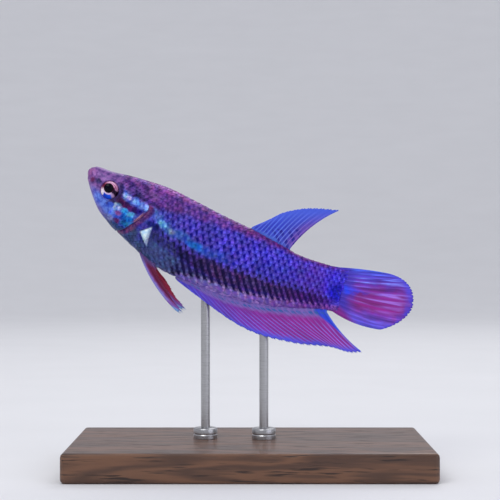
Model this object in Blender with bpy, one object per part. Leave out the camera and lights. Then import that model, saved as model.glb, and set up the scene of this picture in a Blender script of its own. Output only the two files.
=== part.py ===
"""A short-finned betta fish at life size, swimming nose up, held on a plain display stand.

The sizes are in millimetres. The fish is laid out along its backbone, which bends in a shallow
arc. A place on the fish is its station (the way back from the snout along the backbone), its
height above the backbone and its side (positive towards the fish's right, which is +Y). `place`
turns these three into metres in the world. The head is at -X, and the origin is under the middle
of the stand.
"""
import math

import bmesh
import bpy
import numpy

MM = 0.001
GAP = 0.3                       # the thin cut between two pieces that touch

# The backbone: pitched nose up at the snout and nearly level at the root of the tail fin.
STANDARD_LENGTH = 48.0
SNOUT_PITCH = math.radians(38.0)
TAIL_PITCH = math.radians(10.0)
SNOUT_X = -28.35
SNOUT_Z = 51.1
SWING = -2.0                    # how far the tail's end has swung: to the fish's left
SWING_FROM = 20.0
SWING_OVER = 42.0

# The body at each station: back above the backbone, belly below it, half width, height of the
# widest line, and the fullness of the section above and below that line (2 is an ellipse).
BODY = (
    (0.0, 2.20, 0.18, 1.30, 0.90, 2.3, 2.0),
    (1.0, 2.62, 1.00, 1.75, 0.80, 2.3, 2.0),
    (3.0, 3.22, 2.45, 2.15, 0.60, 2.5, 2.0),
    (4.8, 3.95, 3.60, 2.48, 0.40, 2.5, 2.0),
    (8.5, 5.24, 4.90, 3.15, 0.20, 2.3, 2.1),
    (13.5, 6.32, 6.00, 3.55, 0.10, 2.1, 2.1),
    (18.0, 6.52, 7.00, 3.65, 0.00, 2.0, 2.0),
    (24.0, 6.34, 6.75, 3.45, 0.30, 2.0, 1.7),
    (30.5, 5.92, 6.82, 2.95, 0.40, 2.0, 1.5),
    (36.0, 4.98, 6.30, 2.35, 0.30, 2.0, 1.5),
    (41.0, 3.98, 5.40, 1.75, 0.00, 2.0, 1.6),
    (45.0, 3.60, 4.60, 1.25, -0.50, 2.0, 1.8),
    (47.7, 3.42, 4.35, 0.85, -0.60, 2.0, 2.0),
)
SECTION_SIDES = 28
SNOUT_TIP = -0.55               # the very front of the lips, ahead of station 0
SNOUT_ROUND = 0.8               # how far back the lips' rounding reaches
SNOUT_HEIGHT = 1.05             # where the two lips meet
HEAD_END = 12.6
TRUNK_MIDDLE = 24.0
TRUNK_END = 38.5
TAIL_ROOT = 47.7

# The eyes: flattened balls, set a little over a third of the way up the head.
EYE_STATION = 4.8
EYE_HEIGHT = 0.35
EYE_SIDE = 1.75
EYE_RADIUS = 1.7
EYE_HALF_DEPTH = 1.15

# The gill covers: oval plates that slant back and up, and stand a little proud of the cheek.
GILL_STATION = 9.6
GILL_HEIGHT = -1.6
GILL_LENGTH = 4.3
GILL_DEPTH = 9.3
GILL_SLANT = math.radians(-30.0)
GILL_INNER_SIDE = 1.9
GILL_PROUD = 0.12

# The lower jaw lies under a line from the lips down to the corner of the mouth and the throat.
JAW_OUTLINE = ((-1.4, 2.0), (1.9, -0.4), (4.9, -2.3), (4.9, -6.0), (-1.4, -6.0))
JAW_GAP_SHIFT = (0.3, 0.2)

# The fins: where each ray leaves the body and where it ends, as curves over 0 to 1.
FIN_ROOT_THICKNESS = 0.9
FIN_EDGE_THICKNESS = 0.5
DORSAL_BASE = (30.5, 38.5)
DORSAL_EDGE = (
    (0.0, 31.0, 6.7), (0.15, 33.3, 8.6), (0.3, 35.1, 10.1), (0.5, 38.3, 11.6),
    (0.75, 42.0, 12.5), (1.0, 45.7, 13.1),
)
DORSAL_BOW = 0.95
ANAL_BASE = (21.6, 47.2)
ANAL_EDGE = (
    (0.0, 22.2, -7.5), (0.08, 26.6, -8.7), (0.2, 33.5, -10.7), (0.45, 42.5, -11.25),
    (0.7, 49.0, -10.65), (0.9, 52.8, -10.95), (1.0, 54.6, -10.5),
)
ANAL_BOW = 0.5
TAIL_FAN_STATION = 54.0
TAIL_FAN_HEIGHT = -1.45
TAIL_FAN_LENGTH = 7.7
TAIL_FAN_HALF_DEPTH = 5.2
TAIL_FAN_TILT = math.radians(6.0)
TAIL_FAN_FULLNESS = (2.6, 1.8)  # of the edge above and below its middle: 2 is an ellipse
TAIL_FAN_ANGLES = (math.radians(72.0), math.radians(-70.0))
TAIL_BOW = (0.15, -0.55)        # at the first ray and at the last
PELVIC_BASE = (15.3, 16.9)
PELVIC_ROOT_HEIGHT = -7.1
PELVIC_EDGE = (
    (0.0, 24.6, -12.5), (0.3, 25.0, -11.9), (0.55, 22.8, -10.7), (0.8, 21.1, -9.4),
    (1.0, 19.7, -8.5),
)
PELVIC_BOW = -0.6
PELVIC_SIDE = 1.0
PELVIC_SPLAY = 1.2
PELVIC_LAG = 0.7                # the right fin trails the left one by this much
PECTORAL_BASE = ((14.1, -1.6), (14.5, -4.0))
PECTORAL_LENGTH = 7.2
PECTORAL_ANGLES = (math.radians(0.0), math.radians(-42.0))
PECTORAL_ROUNDING = 0.35
PECTORAL_SPLAY = 2.4

# The stand: a flat bevelled base, and two rods up to the belly beside the anal fin.
BASE_SIZE = (62.0, 34.0, 5.0)
BASE_BEVEL = 0.7
ROD_DIAMETER = 1.6
ROD_PLACES = {"front": (24.0, 1.7), "rear": (35.0, 1.25)}    # station and side
COLLAR_DIAMETER = 4.2
COLLAR_HEIGHT = 1.6

FISH_BLUE = (0.10, 0.07, 0.62)
FISH_MAUVE = (0.30, 0.12, 0.38)
FISH_DARK = (0.07, 0.03, 0.20)
FIN_MAGENTA = (0.35, 0.05, 0.35)
FIN_CRIMSON = (0.30, 0.02, 0.07)
FIN_CLEAR = (0.45, 0.50, 0.65)
CHEEK_BLUE = (0.06, 0.25, 0.55)
EYE_BLACK = (0.01, 0.01, 0.015)
WALNUT = (0.09, 0.04, 0.02)
STEEL = (0.55, 0.55, 0.56)


def clear_scene():
    for item in list(bpy.data.objects):
        bpy.data.objects.remove(item, do_unlink=True)


def through(points, x):
    """Read a smooth curve that passes through (x, value) points, level past its ends."""
    xs = [point[0] for point in points]
    ys = [point[1] for point in points]
    x = min(max(x, xs[0]), xs[-1])
    slopes = numpy.gradient(ys, xs)
    i = min(max(int(numpy.searchsorted(xs, x)) - 1, 0), len(xs) - 2)
    span = xs[i + 1] - xs[i]
    t = (x - xs[i]) / span
    rise = 3 * t ** 2 - 2 * t ** 3
    start_pull = (t ** 3 - 2 * t ** 2 + t) * span * slopes[i]
    end_pull = (t ** 3 - t ** 2) * span * slopes[i + 1]
    return float(ys[i] * (1 - rise) + ys[i + 1] * rise + start_pull + end_pull)


def place(station, height, side):
    """Turn a place on the fish into metres in the world."""
    radius = STANDARD_LENGTH / (SNOUT_PITCH - TAIL_PITCH)
    on_arc = min(station, STANDARD_LENGTH)
    pitch = SNOUT_PITCH - on_arc / radius
    past = station - on_arc
    x = SNOUT_X + radius * (math.sin(SNOUT_PITCH) - math.sin(pitch)) + past * math.cos(pitch)
    z = SNOUT_Z - radius * (math.cos(pitch) - math.cos(SNOUT_PITCH)) - past * math.sin(pitch)
    swing = SWING * (max(station - SWING_FROM, 0.0) / SWING_OVER) ** 2
    x += height * math.sin(pitch)
    z += height * math.cos(pitch)
    return (x * MM, (side + swing) * MM, z * MM)


def body_sizes(station):
    """Back, belly, half width, widest height, crown and keel fullness at a station."""
    columns = range(1, len(BODY[0]))
    return [through([(row[0], row[column]) for row in BODY], station) for column in columns]


def section(station, grow=0.0):
    """The (height, side) points around the body at a station, grown outwards if asked."""
    back, belly, width, widest, crown, keel = body_sizes(station)
    shrink = min(1.0, math.sqrt(max(station - SNOUT_TIP, 0.0) / SNOUT_ROUND))
    points = []
    for i in range(SECTION_SIDES):
        turn = math.tau * i / SECTION_SIDES
        upward = math.cos(turn)
        outward = math.sin(turn)
        fullness = crown if upward > 0 else keel
        reach = (back - widest if upward > 0 else belly + widest) + grow
        height = widest + reach * math.copysign(abs(upward) ** (2 / fullness), upward)
        side = (width + grow) * math.copysign(abs(outward) ** (2 / fullness), outward)
        points.append((SNOUT_HEIGHT + (height - SNOUT_HEIGHT) * shrink, side * shrink))
    return points


def flank(station, height):
    """The half width of the body at a station and height."""
    back, belly, width, widest, crown, keel = body_sizes(station)
    if height > widest:
        share = (height - widest) / (back - widest)
        return width * (1 - share ** crown) ** (1 / crown)
    share = (widest - height) / (belly + widest)
    return width * (1 - share ** keel) ** (1 / keel)


def finish(name, mesh_data, colour, roughness=0.4, metallic=0.0):
    """Make an object of a bmesh, facing outwards, smooth, with its own material."""
    mesh_data.normal_update()
    bmesh.ops.recalc_face_normals(mesh_data, faces=mesh_data.faces)
    mesh = bpy.data.meshes.new(name)
    mesh_data.to_mesh(mesh)
    mesh_data.free()
    mesh.shade_smooth()
    mesh.set_sharp_from_angle(angle=math.radians(40.0))
    made = bpy.data.objects.new(name, mesh)
    bpy.context.collection.objects.link(made)
    material = bpy.data.materials.new(name)
    material.use_nodes = True
    shader = material.node_tree.nodes["Principled BSDF"]
    shader.inputs["Base Color"].default_value = (*colour, 1.0)
    shader.inputs["Roughness"].default_value = roughness
    shader.inputs["Metallic"].default_value = metallic
    mesh.materials.append(material)
    return made


def as_cutter(item):
    item.hide_render = True
    item.display_type = "WIRE"
    return item


def cut(item, operation, cutter):
    """Add a Boolean of the named operation, such as DIFFERENCE, by a cutter."""
    modifier = item.modifiers.new(operation.lower() + "_" + cutter.name, "BOOLEAN")
    modifier.operation = operation
    modifier.solver = "EXACT"
    modifier.object = cutter


def loft(name, stations, colour, grow=0.0):
    """Skin the body's sections at the given stations into one closed solid."""
    mesh_data = bmesh.new()
    rings = []
    for station in stations:
        points = section(station, grow)
        rings.append([mesh_data.verts.new(place(station, *point)) for point in points])
    for ring, following in zip(rings, rings[1:]):
        for i in range(SECTION_SIDES):
            j = (i + 1) % SECTION_SIDES
            mesh_data.faces.new((ring[i], ring[j], following[j], following[i]))
    mesh_data.faces.new(rings[0])
    mesh_data.faces.new(rings[-1])
    return finish(name, mesh_data, colour)


def evenly(start, end, count):
    return [float(value) for value in numpy.linspace(start, end, count)]


def head_stations():
    """Close rings round the lips, and wider ones back to the nape."""
    lips = [SNOUT_TIP + SNOUT_ROUND * (step / 5) ** 2 for step in range(1, 5)]
    return lips + evenly(SNOUT_TIP + SNOUT_ROUND, HEAD_END - GAP / 2, 18)


def prism(name, outline, near_side, far_side, colour=FISH_DARK):
    """A closed block over an outline of (station, height) points, between two sides."""
    mesh_data = bmesh.new()
    near = [mesh_data.verts.new(place(*point, near_side)) for point in outline]
    far = [mesh_data.verts.new(place(*point, far_side)) for point in outline]
    mesh_data.faces.new(near)
    mesh_data.faces.new(list(reversed(far)))
    for i in range(len(outline)):
        j = (i + 1) % len(outline)
        mesh_data.faces.new((near[i], near[j], far[j], far[i]))
    return finish(name, mesh_data, colour)


def oval(station, height, length, depth, slant, corners=24):
    points = []
    for i in range(corners):
        turn = math.tau * i / corners
        along = length / 2 * math.cos(turn)
        across = depth / 2 * math.sin(turn)
        points.append((station + along * math.cos(slant) - across * math.sin(slant),
                       height + along * math.sin(slant) + across * math.cos(slant)))
    return points


def eyeball(name, hand, colour, grow=0.0):
    """A flattened ball on one side of the head: hand is -1 for the left and 1 for the right."""
    mesh_data = bmesh.new()
    bmesh.ops.create_uvsphere(mesh_data, u_segments=20, v_segments=10, radius=1.0)
    for vert in mesh_data.verts:
        x, y, z = vert.co
        vert.co = place(
            EYE_STATION + x * (EYE_RADIUS + grow),
            EYE_HEIGHT + y * (EYE_RADIUS + grow),
            hand * EYE_SIDE + z * (EYE_HALF_DEPTH + grow),
        )
    return finish(name, mesh_data, colour, roughness=0.08)


def build_eyes_and_sockets():
    sockets = []
    for hand, word in ((-1, "left"), (1, "right")):
        eyeball("eye_" + word, hand, EYE_BLACK)
        sockets.append(as_cutter(eyeball("socket_" + word, hand, EYE_BLACK, GAP)))
    return sockets


def build_gill_covers():
    """Oval plates cut from a slightly larger head, and the recesses that they sit in."""
    recesses = []
    beyond = 8.0
    for hand, word in ((-1, "left"), (1, "right")):
        outline = oval(GILL_STATION, GILL_HEIGHT, GILL_LENGTH, GILL_DEPTH, GILL_SLANT)
        plate = as_cutter(
            prism("gill_outline_" + word, outline, hand * GILL_INNER_SIDE, hand * beyond))
        stations = evenly(GILL_STATION - GILL_DEPTH / 2, GILL_STATION + GILL_DEPTH / 2, 15)
        cover = loft("gill_cover_" + word, stations, CHEEK_BLUE, GILL_PROUD)
        cut(cover, "INTERSECT", plate)
        wider = oval(GILL_STATION, GILL_HEIGHT, GILL_LENGTH + 2 * GAP, GILL_DEPTH + 2 * GAP,
                     GILL_SLANT)
        inner = hand * (GILL_INNER_SIDE - GAP)
        recesses.append(as_cutter(prism("gill_recess_" + word, wider, inner, hand * beyond)))
    return recesses


def build_jaw():
    """The lower jaw, and the wider cutter that frees the head from it."""
    wide = 6.0
    outline = as_cutter(prism("jaw_outline", JAW_OUTLINE, -wide, wide))
    jaw = loft("lower_jaw", head_stations(), FISH_MAUVE)
    cut(jaw, "INTERSECT", outline)
    shift_station, shift_height = JAW_GAP_SHIFT
    moved = [(point[0] + shift_station, point[1] + shift_height) for point in JAW_OUTLINE]
    return as_cutter(prism("jaw_recess", moved, -wide, wide))


def build_flesh():
    """The head, the two lengths of trunk and the tail stalk, parted by thin cuts."""
    sockets = build_eyes_and_sockets()
    recesses = build_gill_covers()
    head = loft("head", head_stations(), FISH_MAUVE)
    for cutter in [*sockets, *recesses, build_jaw()]:
        cut(head, "DIFFERENCE", cutter)
    half = GAP / 2
    trunk = loft("trunk_front", evenly(HEAD_END + half, TRUNK_MIDDLE - half, 8), FISH_BLUE)
    for cutter in recesses:
        cut(trunk, "DIFFERENCE", cutter)
    loft("trunk_rear", evenly(TRUNK_MIDDLE + half, TRUNK_END - half, 9), FISH_BLUE)
    loft("tail_stalk", evenly(TRUNK_END + half, TAIL_ROOT, 7), FISH_BLUE)


def fin(name, colour, base, edge, bow, side, rays, steps):
    """A tapered blade whose rays run from base(u) to edge(u), each bowed between its ends.

    base, edge and bow are functions of u, the share of the way from the first ray to the last;
    side is a function of u and of v, the share of the way along a ray.
    """
    mesh_data = bmesh.new()
    grids = []
    for face in (-0.5, 0.5):
        grid = {}
        for column in range(rays + 1):
            u = column / rays
            root = base(u)
            tip = edge(u)
            along = (tip[0] - root[0], tip[1] - root[1])
            length = math.hypot(*along)
            for row in range(steps + 1):
                v = row / steps
                push = bow(u) * 4 * v * (1 - v)
                station = root[0] + along[0] * v - along[1] / length * push
                height = root[1] + along[1] * v + along[0] / length * push
                thickness = FIN_ROOT_THICKNESS + (FIN_EDGE_THICKNESS - FIN_ROOT_THICKNESS) * v
                where = place(station, height, side(u, v) + face * thickness)
                grid[column, row] = mesh_data.verts.new(where)
        grids.append(grid)
    near, far = grids
    for column in range(rays):
        for row in range(steps):
            corners = ((column, row), (column + 1, row), (column + 1, row + 1), (column, row + 1))
            mesh_data.faces.new([near[corner] for corner in corners])
            mesh_data.faces.new([far[corner] for corner in reversed(corners)])
    rim = [(column, 0) for column in range(rays)]
    rim += [(rays, row) for row in range(steps)]
    rim += [(column, steps) for column in range(rays, 0, -1)]
    rim += [(0, row) for row in range(steps, 0, -1)]
    for i, corner in enumerate(rim):
        following = rim[(i + 1) % len(rim)]
        mesh_data.faces.new((near[corner], far[corner], far[following], near[following]))
    return finish(name, mesh_data, colour)


def edge_curve(table):
    """A function of u that reads a fin's edge from (u, station, height) points."""
    stations = [(row[0], row[1]) for row in table]
    heights = [(row[0], row[2]) for row in table]
    return lambda u: (through(stations, u), through(heights, u))


def build_dorsal_fin():
    def base(u):
        station = DORSAL_BASE[0] + (DORSAL_BASE[1] - DORSAL_BASE[0]) * u
        return (station, body_sizes(station)[0] + GAP)

    fin("dorsal_fin", FISH_BLUE, base, edge_curve(DORSAL_EDGE), lambda u: DORSAL_BOW * u ** 2,
        lambda u, v: 0.0, rays=14, steps=6)


def build_anal_fin():
    def base(u):
        station = ANAL_BASE[0] + (ANAL_BASE[1] - ANAL_BASE[0]) * u
        return (station, -body_sizes(station)[1] - GAP)

    fin("anal_fin", FIN_MAGENTA, base, edge_curve(ANAL_EDGE), lambda u: -ANAL_BOW * u ** 4,
        lambda u, v: 0.0, rays=26, steps=5)


def build_tail_fin():
    first, last = TAIL_FAN_ANGLES
    back, belly = body_sizes(TAIL_ROOT)[:2]

    def base(u):
        return (TAIL_ROOT + GAP, back - (back + belly) * u)

    def edge(u):
        angle = first + (last - first) * u
        power = 2 / TAIL_FAN_FULLNESS[0 if angle > 0 else 1]
        along = TAIL_FAN_LENGTH * math.cos(angle) ** power
        across = TAIL_FAN_HALF_DEPTH * math.copysign(abs(math.sin(angle)) ** power, angle)
        lean = math.sin(TAIL_FAN_TILT)
        level = math.cos(TAIL_FAN_TILT)
        return (TAIL_FAN_STATION + along * level - across * lean,
                TAIL_FAN_HEIGHT + along * lean + across * level)

    fin("tail_fin", FIN_MAGENTA, base, edge, lambda u: TAIL_BOW[0] + (TAIL_BOW[1] - TAIL_BOW[0]) * u,
        lambda u, v: 0.0, rays=18, steps=6)


def build_pelvic_fins():
    for hand, word, lag in ((-1, "left", 0.0), (1, "right", PELVIC_LAG)):
        edge = edge_curve(PELVIC_EDGE)

        def base(u):
            return (PELVIC_BASE[0] + (PELVIC_BASE[1] - PELVIC_BASE[0]) * u, PELVIC_ROOT_HEIGHT)

        def trailing_edge(u, edge=edge, lag=lag):
            station, height = edge(u)
            return (station + lag * 0.4, height + lag)

        def side(u, v, hand=hand):
            return hand * (PELVIC_SIDE + PELVIC_SPLAY * v)

        fin("pelvic_fin_" + word, FIN_CRIMSON, base, trailing_edge,
            lambda u: PELVIC_BOW * (1 - 0.8 * u), side, rays=6, steps=8)


def build_pectoral_fins():
    """Clear fans that leave the body behind the gill covers and lie back over the belly."""
    top, bottom = PECTORAL_BASE
    first, last = PECTORAL_ANGLES
    middle = ((top[0] + bottom[0]) / 2, (top[1] + bottom[1]) / 2)
    root_side = flank(*middle) + GAP + FIN_ROOT_THICKNESS / 2

    def base(u):
        return (top[0] + (bottom[0] - top[0]) * u, top[1] + (bottom[1] - top[1]) * u)

    def edge(u):
        angle = first + (last - first) * u
        reach = PECTORAL_LENGTH * (1 - PECTORAL_ROUNDING * (2 * u - 1) ** 2)
        root = base(u)
        return (root[0] + reach * math.cos(angle), root[1] + reach * math.sin(angle))

    for hand, word in ((-1, "left"), (1, "right")):
        def side(u, v, hand=hand):
            return hand * (root_side + PECTORAL_SPLAY * v)

        fin("pectoral_fin_" + word, FIN_CLEAR, base, edge, lambda u: 0.0, side, rays=10, steps=4)


def build_base():
    mesh_data = bmesh.new()
    bmesh.ops.create_cube(mesh_data, size=1.0)
    length, width, thickness = BASE_SIZE
    for vert in mesh_data.verts:
        vert.co.x *= length * MM
        vert.co.y *= width * MM
        vert.co.z = (vert.co.z + 0.5) * thickness * MM
    base = finish("stand_base", mesh_data, WALNUT)
    bevel = base.modifiers.new("soft_edges", "BEVEL")
    bevel.width = BASE_BEVEL * MM
    bevel.segments = 3


def cylinder(name, x, y, low, high, diameter, colour):
    mesh_data = bmesh.new()
    bmesh.ops.create_cone(mesh_data, cap_ends=True, segments=24, radius1=diameter / 2 * MM,
                          radius2=diameter / 2 * MM, depth=(high - low) * MM)
    for vert in mesh_data.verts:
        vert.co.x += x * MM
        vert.co.y += y * MM
        vert.co.z += (low + high) / 2 * MM
    return finish(name, mesh_data, colour, roughness=0.25, metallic=1.0)


def build_rods():
    """Each rod stands on the base inside a collar, and its top is shaped to the belly."""
    flesh = as_cutter(loft("flesh_outline", head_stations() + evenly(HEAD_END, TAIL_ROOT, 24),
                           FISH_DARK, GAP))
    foot = BASE_SIZE[2] + GAP
    beyond = 1.0
    for word, (station, y) in ROD_PLACES.items():
        x, _, top = [value / MM for value in place(station, 0.0, 0.0)]
        rod = cylinder("stand_rod_" + word, x, y, foot, top, ROD_DIAMETER, STEEL)
        cut(rod, "DIFFERENCE", flesh)
        high = foot + COLLAR_HEIGHT
        hole = as_cutter(cylinder("collar_hole_" + word, x, y, foot - beyond, high + beyond,
                                  ROD_DIAMETER + 2 * GAP, STEEL))
        collar = cylinder("stand_collar_" + word, x, y, foot, high, COLLAR_DIAMETER, STEEL)
        cut(collar, "DIFFERENCE", hole)


def main():
    clear_scene()
    build_flesh()
    build_dorsal_fin()
    build_anal_fin()
    build_tail_fin()
    build_pelvic_fins()
    build_pectoral_fins()
    build_base()
    build_rods()


main()
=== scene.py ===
# %% [markdown]
# # A short-finned betta on a display stand
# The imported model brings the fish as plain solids: a head, a trunk in lengths, thin fins, eyes and a
# stand. This script gives it looks. One skin is drawn over the body, scales are laid on the skin,
# and the fins, eyes and rods are made again with the detail that the solids leave out.

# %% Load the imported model
import math

import bmesh
import bpy
import numpy as np
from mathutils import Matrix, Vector


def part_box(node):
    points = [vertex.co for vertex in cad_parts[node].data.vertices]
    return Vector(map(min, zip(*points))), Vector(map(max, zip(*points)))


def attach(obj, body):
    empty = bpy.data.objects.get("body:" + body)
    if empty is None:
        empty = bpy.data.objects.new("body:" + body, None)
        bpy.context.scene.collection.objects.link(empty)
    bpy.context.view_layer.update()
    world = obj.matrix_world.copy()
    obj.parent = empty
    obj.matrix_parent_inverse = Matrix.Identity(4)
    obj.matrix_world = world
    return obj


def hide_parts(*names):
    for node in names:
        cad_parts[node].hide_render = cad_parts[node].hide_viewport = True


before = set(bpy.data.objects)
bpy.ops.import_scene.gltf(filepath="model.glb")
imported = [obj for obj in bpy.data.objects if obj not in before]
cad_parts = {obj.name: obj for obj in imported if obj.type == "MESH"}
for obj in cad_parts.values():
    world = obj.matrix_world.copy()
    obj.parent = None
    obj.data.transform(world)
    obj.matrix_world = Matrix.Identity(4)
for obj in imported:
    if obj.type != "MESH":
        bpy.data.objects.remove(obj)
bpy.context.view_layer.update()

# %% [markdown]
# ## The fish's own measure
# A fish isn't straight, so x, y and z are poor words for where a stripe or a scale lies. Anatomists
# count along the backbone instead. A place here is its station (millimetres back from the snout),
# its height above the backbone and its side (positive to the fish's right). `place` bends these
# along the same arc as the solids, and turns them into metres.

# %% The backbone
MM = 0.001
STANDARD_LENGTH = 48.0
SNOUT_PITCH = math.radians(38.0)
TAIL_PITCH = math.radians(10.0)
SNOUT_X = -28.35
SNOUT_Z = 51.1
SWING = -2.0
SWING_FROM = 20.0
SWING_OVER = 42.0


def place(station, height, side):
    """Turn places on the fish into an array of points in metres."""
    station, height, side = np.broadcast_arrays(station, height, side)
    radius = STANDARD_LENGTH / (SNOUT_PITCH - TAIL_PITCH)
    on_arc = np.minimum(station, STANDARD_LENGTH)
    pitch = SNOUT_PITCH - on_arc / radius
    past = station - on_arc
    x = SNOUT_X + radius * (math.sin(SNOUT_PITCH) - np.sin(pitch)) + past * np.cos(pitch)
    z = SNOUT_Z - radius * (np.cos(pitch) - math.cos(SNOUT_PITCH)) - past * np.sin(pitch)
    swing = SWING * (np.maximum(station - SWING_FROM, 0.0) / SWING_OVER) ** 2
    return np.stack([x + height * np.sin(pitch), side + swing, z + height * np.cos(pitch)], -1) * MM


def through(points, x):
    """Read a smooth curve that passes through (x, value) points, level past its ends."""
    xs, ys = np.array(points, float).T
    x = np.clip(x, xs[0], xs[-1])
    slopes = np.gradient(ys, xs)
    i = np.clip(np.searchsorted(xs, x) - 1, 0, len(xs) - 2)
    span = xs[i + 1] - xs[i]
    t = (x - xs[i]) / span
    rise = 3 * t ** 2 - 2 * t ** 3
    start_pull = (t ** 3 - 2 * t ** 2 + t) * span * slopes[i]
    end_pull = (t ** 3 - t ** 2) * span * slopes[i + 1]
    return ys[i] * (1 - rise) + ys[i + 1] * rise + start_pull + end_pull


def ease(start, end, x):
    """Rise smoothly from 0 at start to 1 at end; with start past end, fall instead."""
    t = np.clip((x - start) / (end - start), 0.0, 1.0)
    return t * t * (3 - 2 * t)


def hump(x, width):
    """1 at x = 0, fading to nothing a little past width."""
    return np.exp(-(x / width) ** 2)


snout, tail = place(0.0, 0.0, 0.0), place(STANDARD_LENGTH, 0.0, 0.0)
print("backbone runs from", snout.round(4), "to", tail.round(4))

# %% [markdown]
# ## Camera
# The fish is seen square from its left, from its own height, with a long lens, which keeps a small
# animal's proportions. The lens follows from the distance and from how wide the view should be.
# The view's middle is taken from the boxes of the solids, a little above the middle of the fish.

# %% Camera
VIEW_WIDTH = 87.5 * MM
VIEW_DISTANCE = 240.0 * MM
FISH_BELOW_MIDDLE = 1.7 * MM
FISH_NODES = [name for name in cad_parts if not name.startswith("stand_")]


def put(name, data):
    """Add an object to the scene for a mesh, a camera or a light."""
    thing = bpy.data.objects.new(name, data)
    bpy.context.collection.objects.link(thing)
    return thing


boxes = np.array([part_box(name) for name in FISH_NODES])
middle = (boxes[:, 0].min(axis=0) + boxes[:, 1].max(axis=0)) / 2

camera_data = bpy.data.cameras.new("camera")
camera_data.sensor_width = 36.0
camera_data.lens = camera_data.sensor_width * VIEW_DISTANCE / VIEW_WIDTH
camera_data.clip_start = 1.0 * MM
camera = put("camera", camera_data)
camera.location = (middle[0], -VIEW_DISTANCE, middle[2] + FISH_BELOW_MIDDLE)
camera.rotation_euler = (math.radians(90.0), 0.0, 0.0)
bpy.context.scene.camera = camera
print("lens", round(camera_data.lens, 1), "mm at height", round(camera.location.z / MM, 1), "mm")

# %% [markdown]
# ## Materials: three small tools
# Colours are picked as sRGB hex values, which is how a paint chart gives them, but a shader adds
# light up in linear values. One function converts them. Another fills the sockets of a node, and a
# third adds a node together with its settings and links, so that a material reads as a recipe. The
# picture is shown with the Standard view, which keeps strong blues and magentas as they are painted.

# %% Colour and node tools
def paint(code):
    """Turn an sRGB hex colour such as "#3a2fd0" into linear red, green, blue and alpha."""
    shares = [int(code[i:i + 2], 16) / 255 for i in (1, 3, 5)]
    linear = [v / 12.92 if v <= 0.04045 else ((v + 0.055) / 1.055) ** 2.4 for v in shares]
    return (*linear, 1.0)


def feed(node, inputs):
    """Fill a node's sockets, from a list in their order or a dictionary by their names. Each takes
    a value, an output, or a node, which stands for that node's first output in use."""
    sockets = [socket for socket in node.inputs if socket.enabled]
    names = [socket.name for socket in sockets]
    for key, value in inputs.items() if isinstance(inputs, dict) else enumerate(inputs):
        socket = sockets[names.index(key) if key in names else key]
        if isinstance(value, bpy.types.Node):
            value = next(output for output in value.outputs if output.enabled)
        if isinstance(value, bpy.types.NodeSocket):
            node.id_data.links.new(value, socket)
        else:
            socket.default_value = value


def add(tree, kind, inputs=(), **settings):
    """Add a node with its settings, values and links."""
    node = tree.nodes.new(kind)
    for key, value in settings.items():
        setattr(node, key, value)
    feed(node, inputs)
    return node


def new_material(name):
    """A material with a bare Principled shader: returns the material, its tree and the shader."""
    material = bpy.data.materials.new(name)
    material.use_nodes = True
    return material, material.node_tree, material.node_tree.nodes["Principled BSDF"]


def set_stops(node, stops):
    """Place the points of a float curve, or the colours of a ramp, from (place, value) pairs."""
    is_ramp = hasattr(node, "color_ramp")
    points = node.color_ramp.elements if is_ramp else node.mapping.curves[0].points
    for index, (at, value) in ((0, stops[0]), (1, stops[-1])):
        if is_ramp:
            points[index].position, points[index].color = at, value
        else:
            points[index].location = (at, value)
    for at, value in stops[1:-1]:
        if is_ramp:
            points.new(at).color = value
        else:
            points.new(at, value)
    if not is_ramp:
        node.mapping.update()


bpy.context.scene.view_settings.view_transform = "Standard"
print("a mid blue is", [round(v, 3) for v in paint("#3a2fd0")[:3]], "in linear light")

# %% [markdown]
# ## Studio
# The model stands in a wide pale bowl: a floor that curves up into a wall on every side, so that
# no horizon cuts the picture from any side. Soft area lights stand in for the lamps over a display
# case: a large one above and in front, a weaker one low on the other side and one behind.

# %% Floor, backdrop and lights
def make_sweep():
    """Spin a floor that curves up into a wall round the upright axis."""
    floor_radius, bend, wall_height, segments, steps = 0.55, 0.35, 0.45, 72, 12
    profile = [(0.0, 0.0), (floor_radius / 2, 0.0)]
    for step in range(steps + 1):
        turn = math.radians(90.0) * step / steps
        profile.append((floor_radius + bend * math.sin(turn), bend - bend * math.cos(turn)))
    profile.append((floor_radius + bend, wall_height))
    bowl = bmesh.new()
    line = [bowl.verts.new((radius, 0.0, z)) for radius, z in profile]
    edges = [bowl.edges.new(pair) for pair in zip(line, line[1:])]
    bmesh.ops.spin(bowl, geom=line + edges, cent=(0, 0, 0), axis=(0, 0, 1), angle=math.tau,
                   steps=segments)
    bmesh.ops.remove_doubles(bowl, verts=bowl.verts, dist=1e-5)
    bmesh.ops.recalc_face_normals(bowl, faces=bowl.faces)
    mesh = bpy.data.meshes.new("backdrop")
    bowl.to_mesh(mesh)
    bowl.free()
    mesh.shade_smooth()
    # Matt paper: no gloss at all, and a faint cloudiness from its fibres.
    material, tree, shader = new_material("matt_paper")
    clouds = add(tree, "ShaderNodeTexNoise", {"Scale": 60.0, "Detail": 3.0})
    tone = add(tree, "ShaderNodeMix", [clouds, paint("#dedee0"), paint("#e4e4e6")], data_type="RGBA")
    feed(shader, {"Base Color": tone, "Roughness": 0.9})
    mesh.materials.append(material)
    return put("backdrop", mesh)


def make_light(name, power, size, where, colour="#ffffff"):
    """An area light at a place in metres, aimed at the middle of the fish."""
    data = bpy.data.lights.new(name, "AREA")
    data.energy = power
    data.size = size
    data.color = paint(colour)[:3]
    light = put(name, data)
    light.location = where
    light.visible_camera = False
    light.rotation_euler = (light.location - Vector(middle)).to_track_quat("Z", "Y").to_euler()


make_sweep()
make_light("key", 1.7, 0.35, (-0.20, -0.38, 0.52))
make_light("fill", 0.5, 0.40, (0.40, -0.30, 0.16), "#eef0ff")
make_light("edge", 0.5, 0.25, (0.10, 0.30, 0.40))
world = bpy.data.worlds.new("studio")
world.use_nodes = True
feed(world.node_tree.nodes["Background"], {"Color": paint("#e6e8f0"), "Strength": 0.8})
bpy.context.scene.world = world

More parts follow.
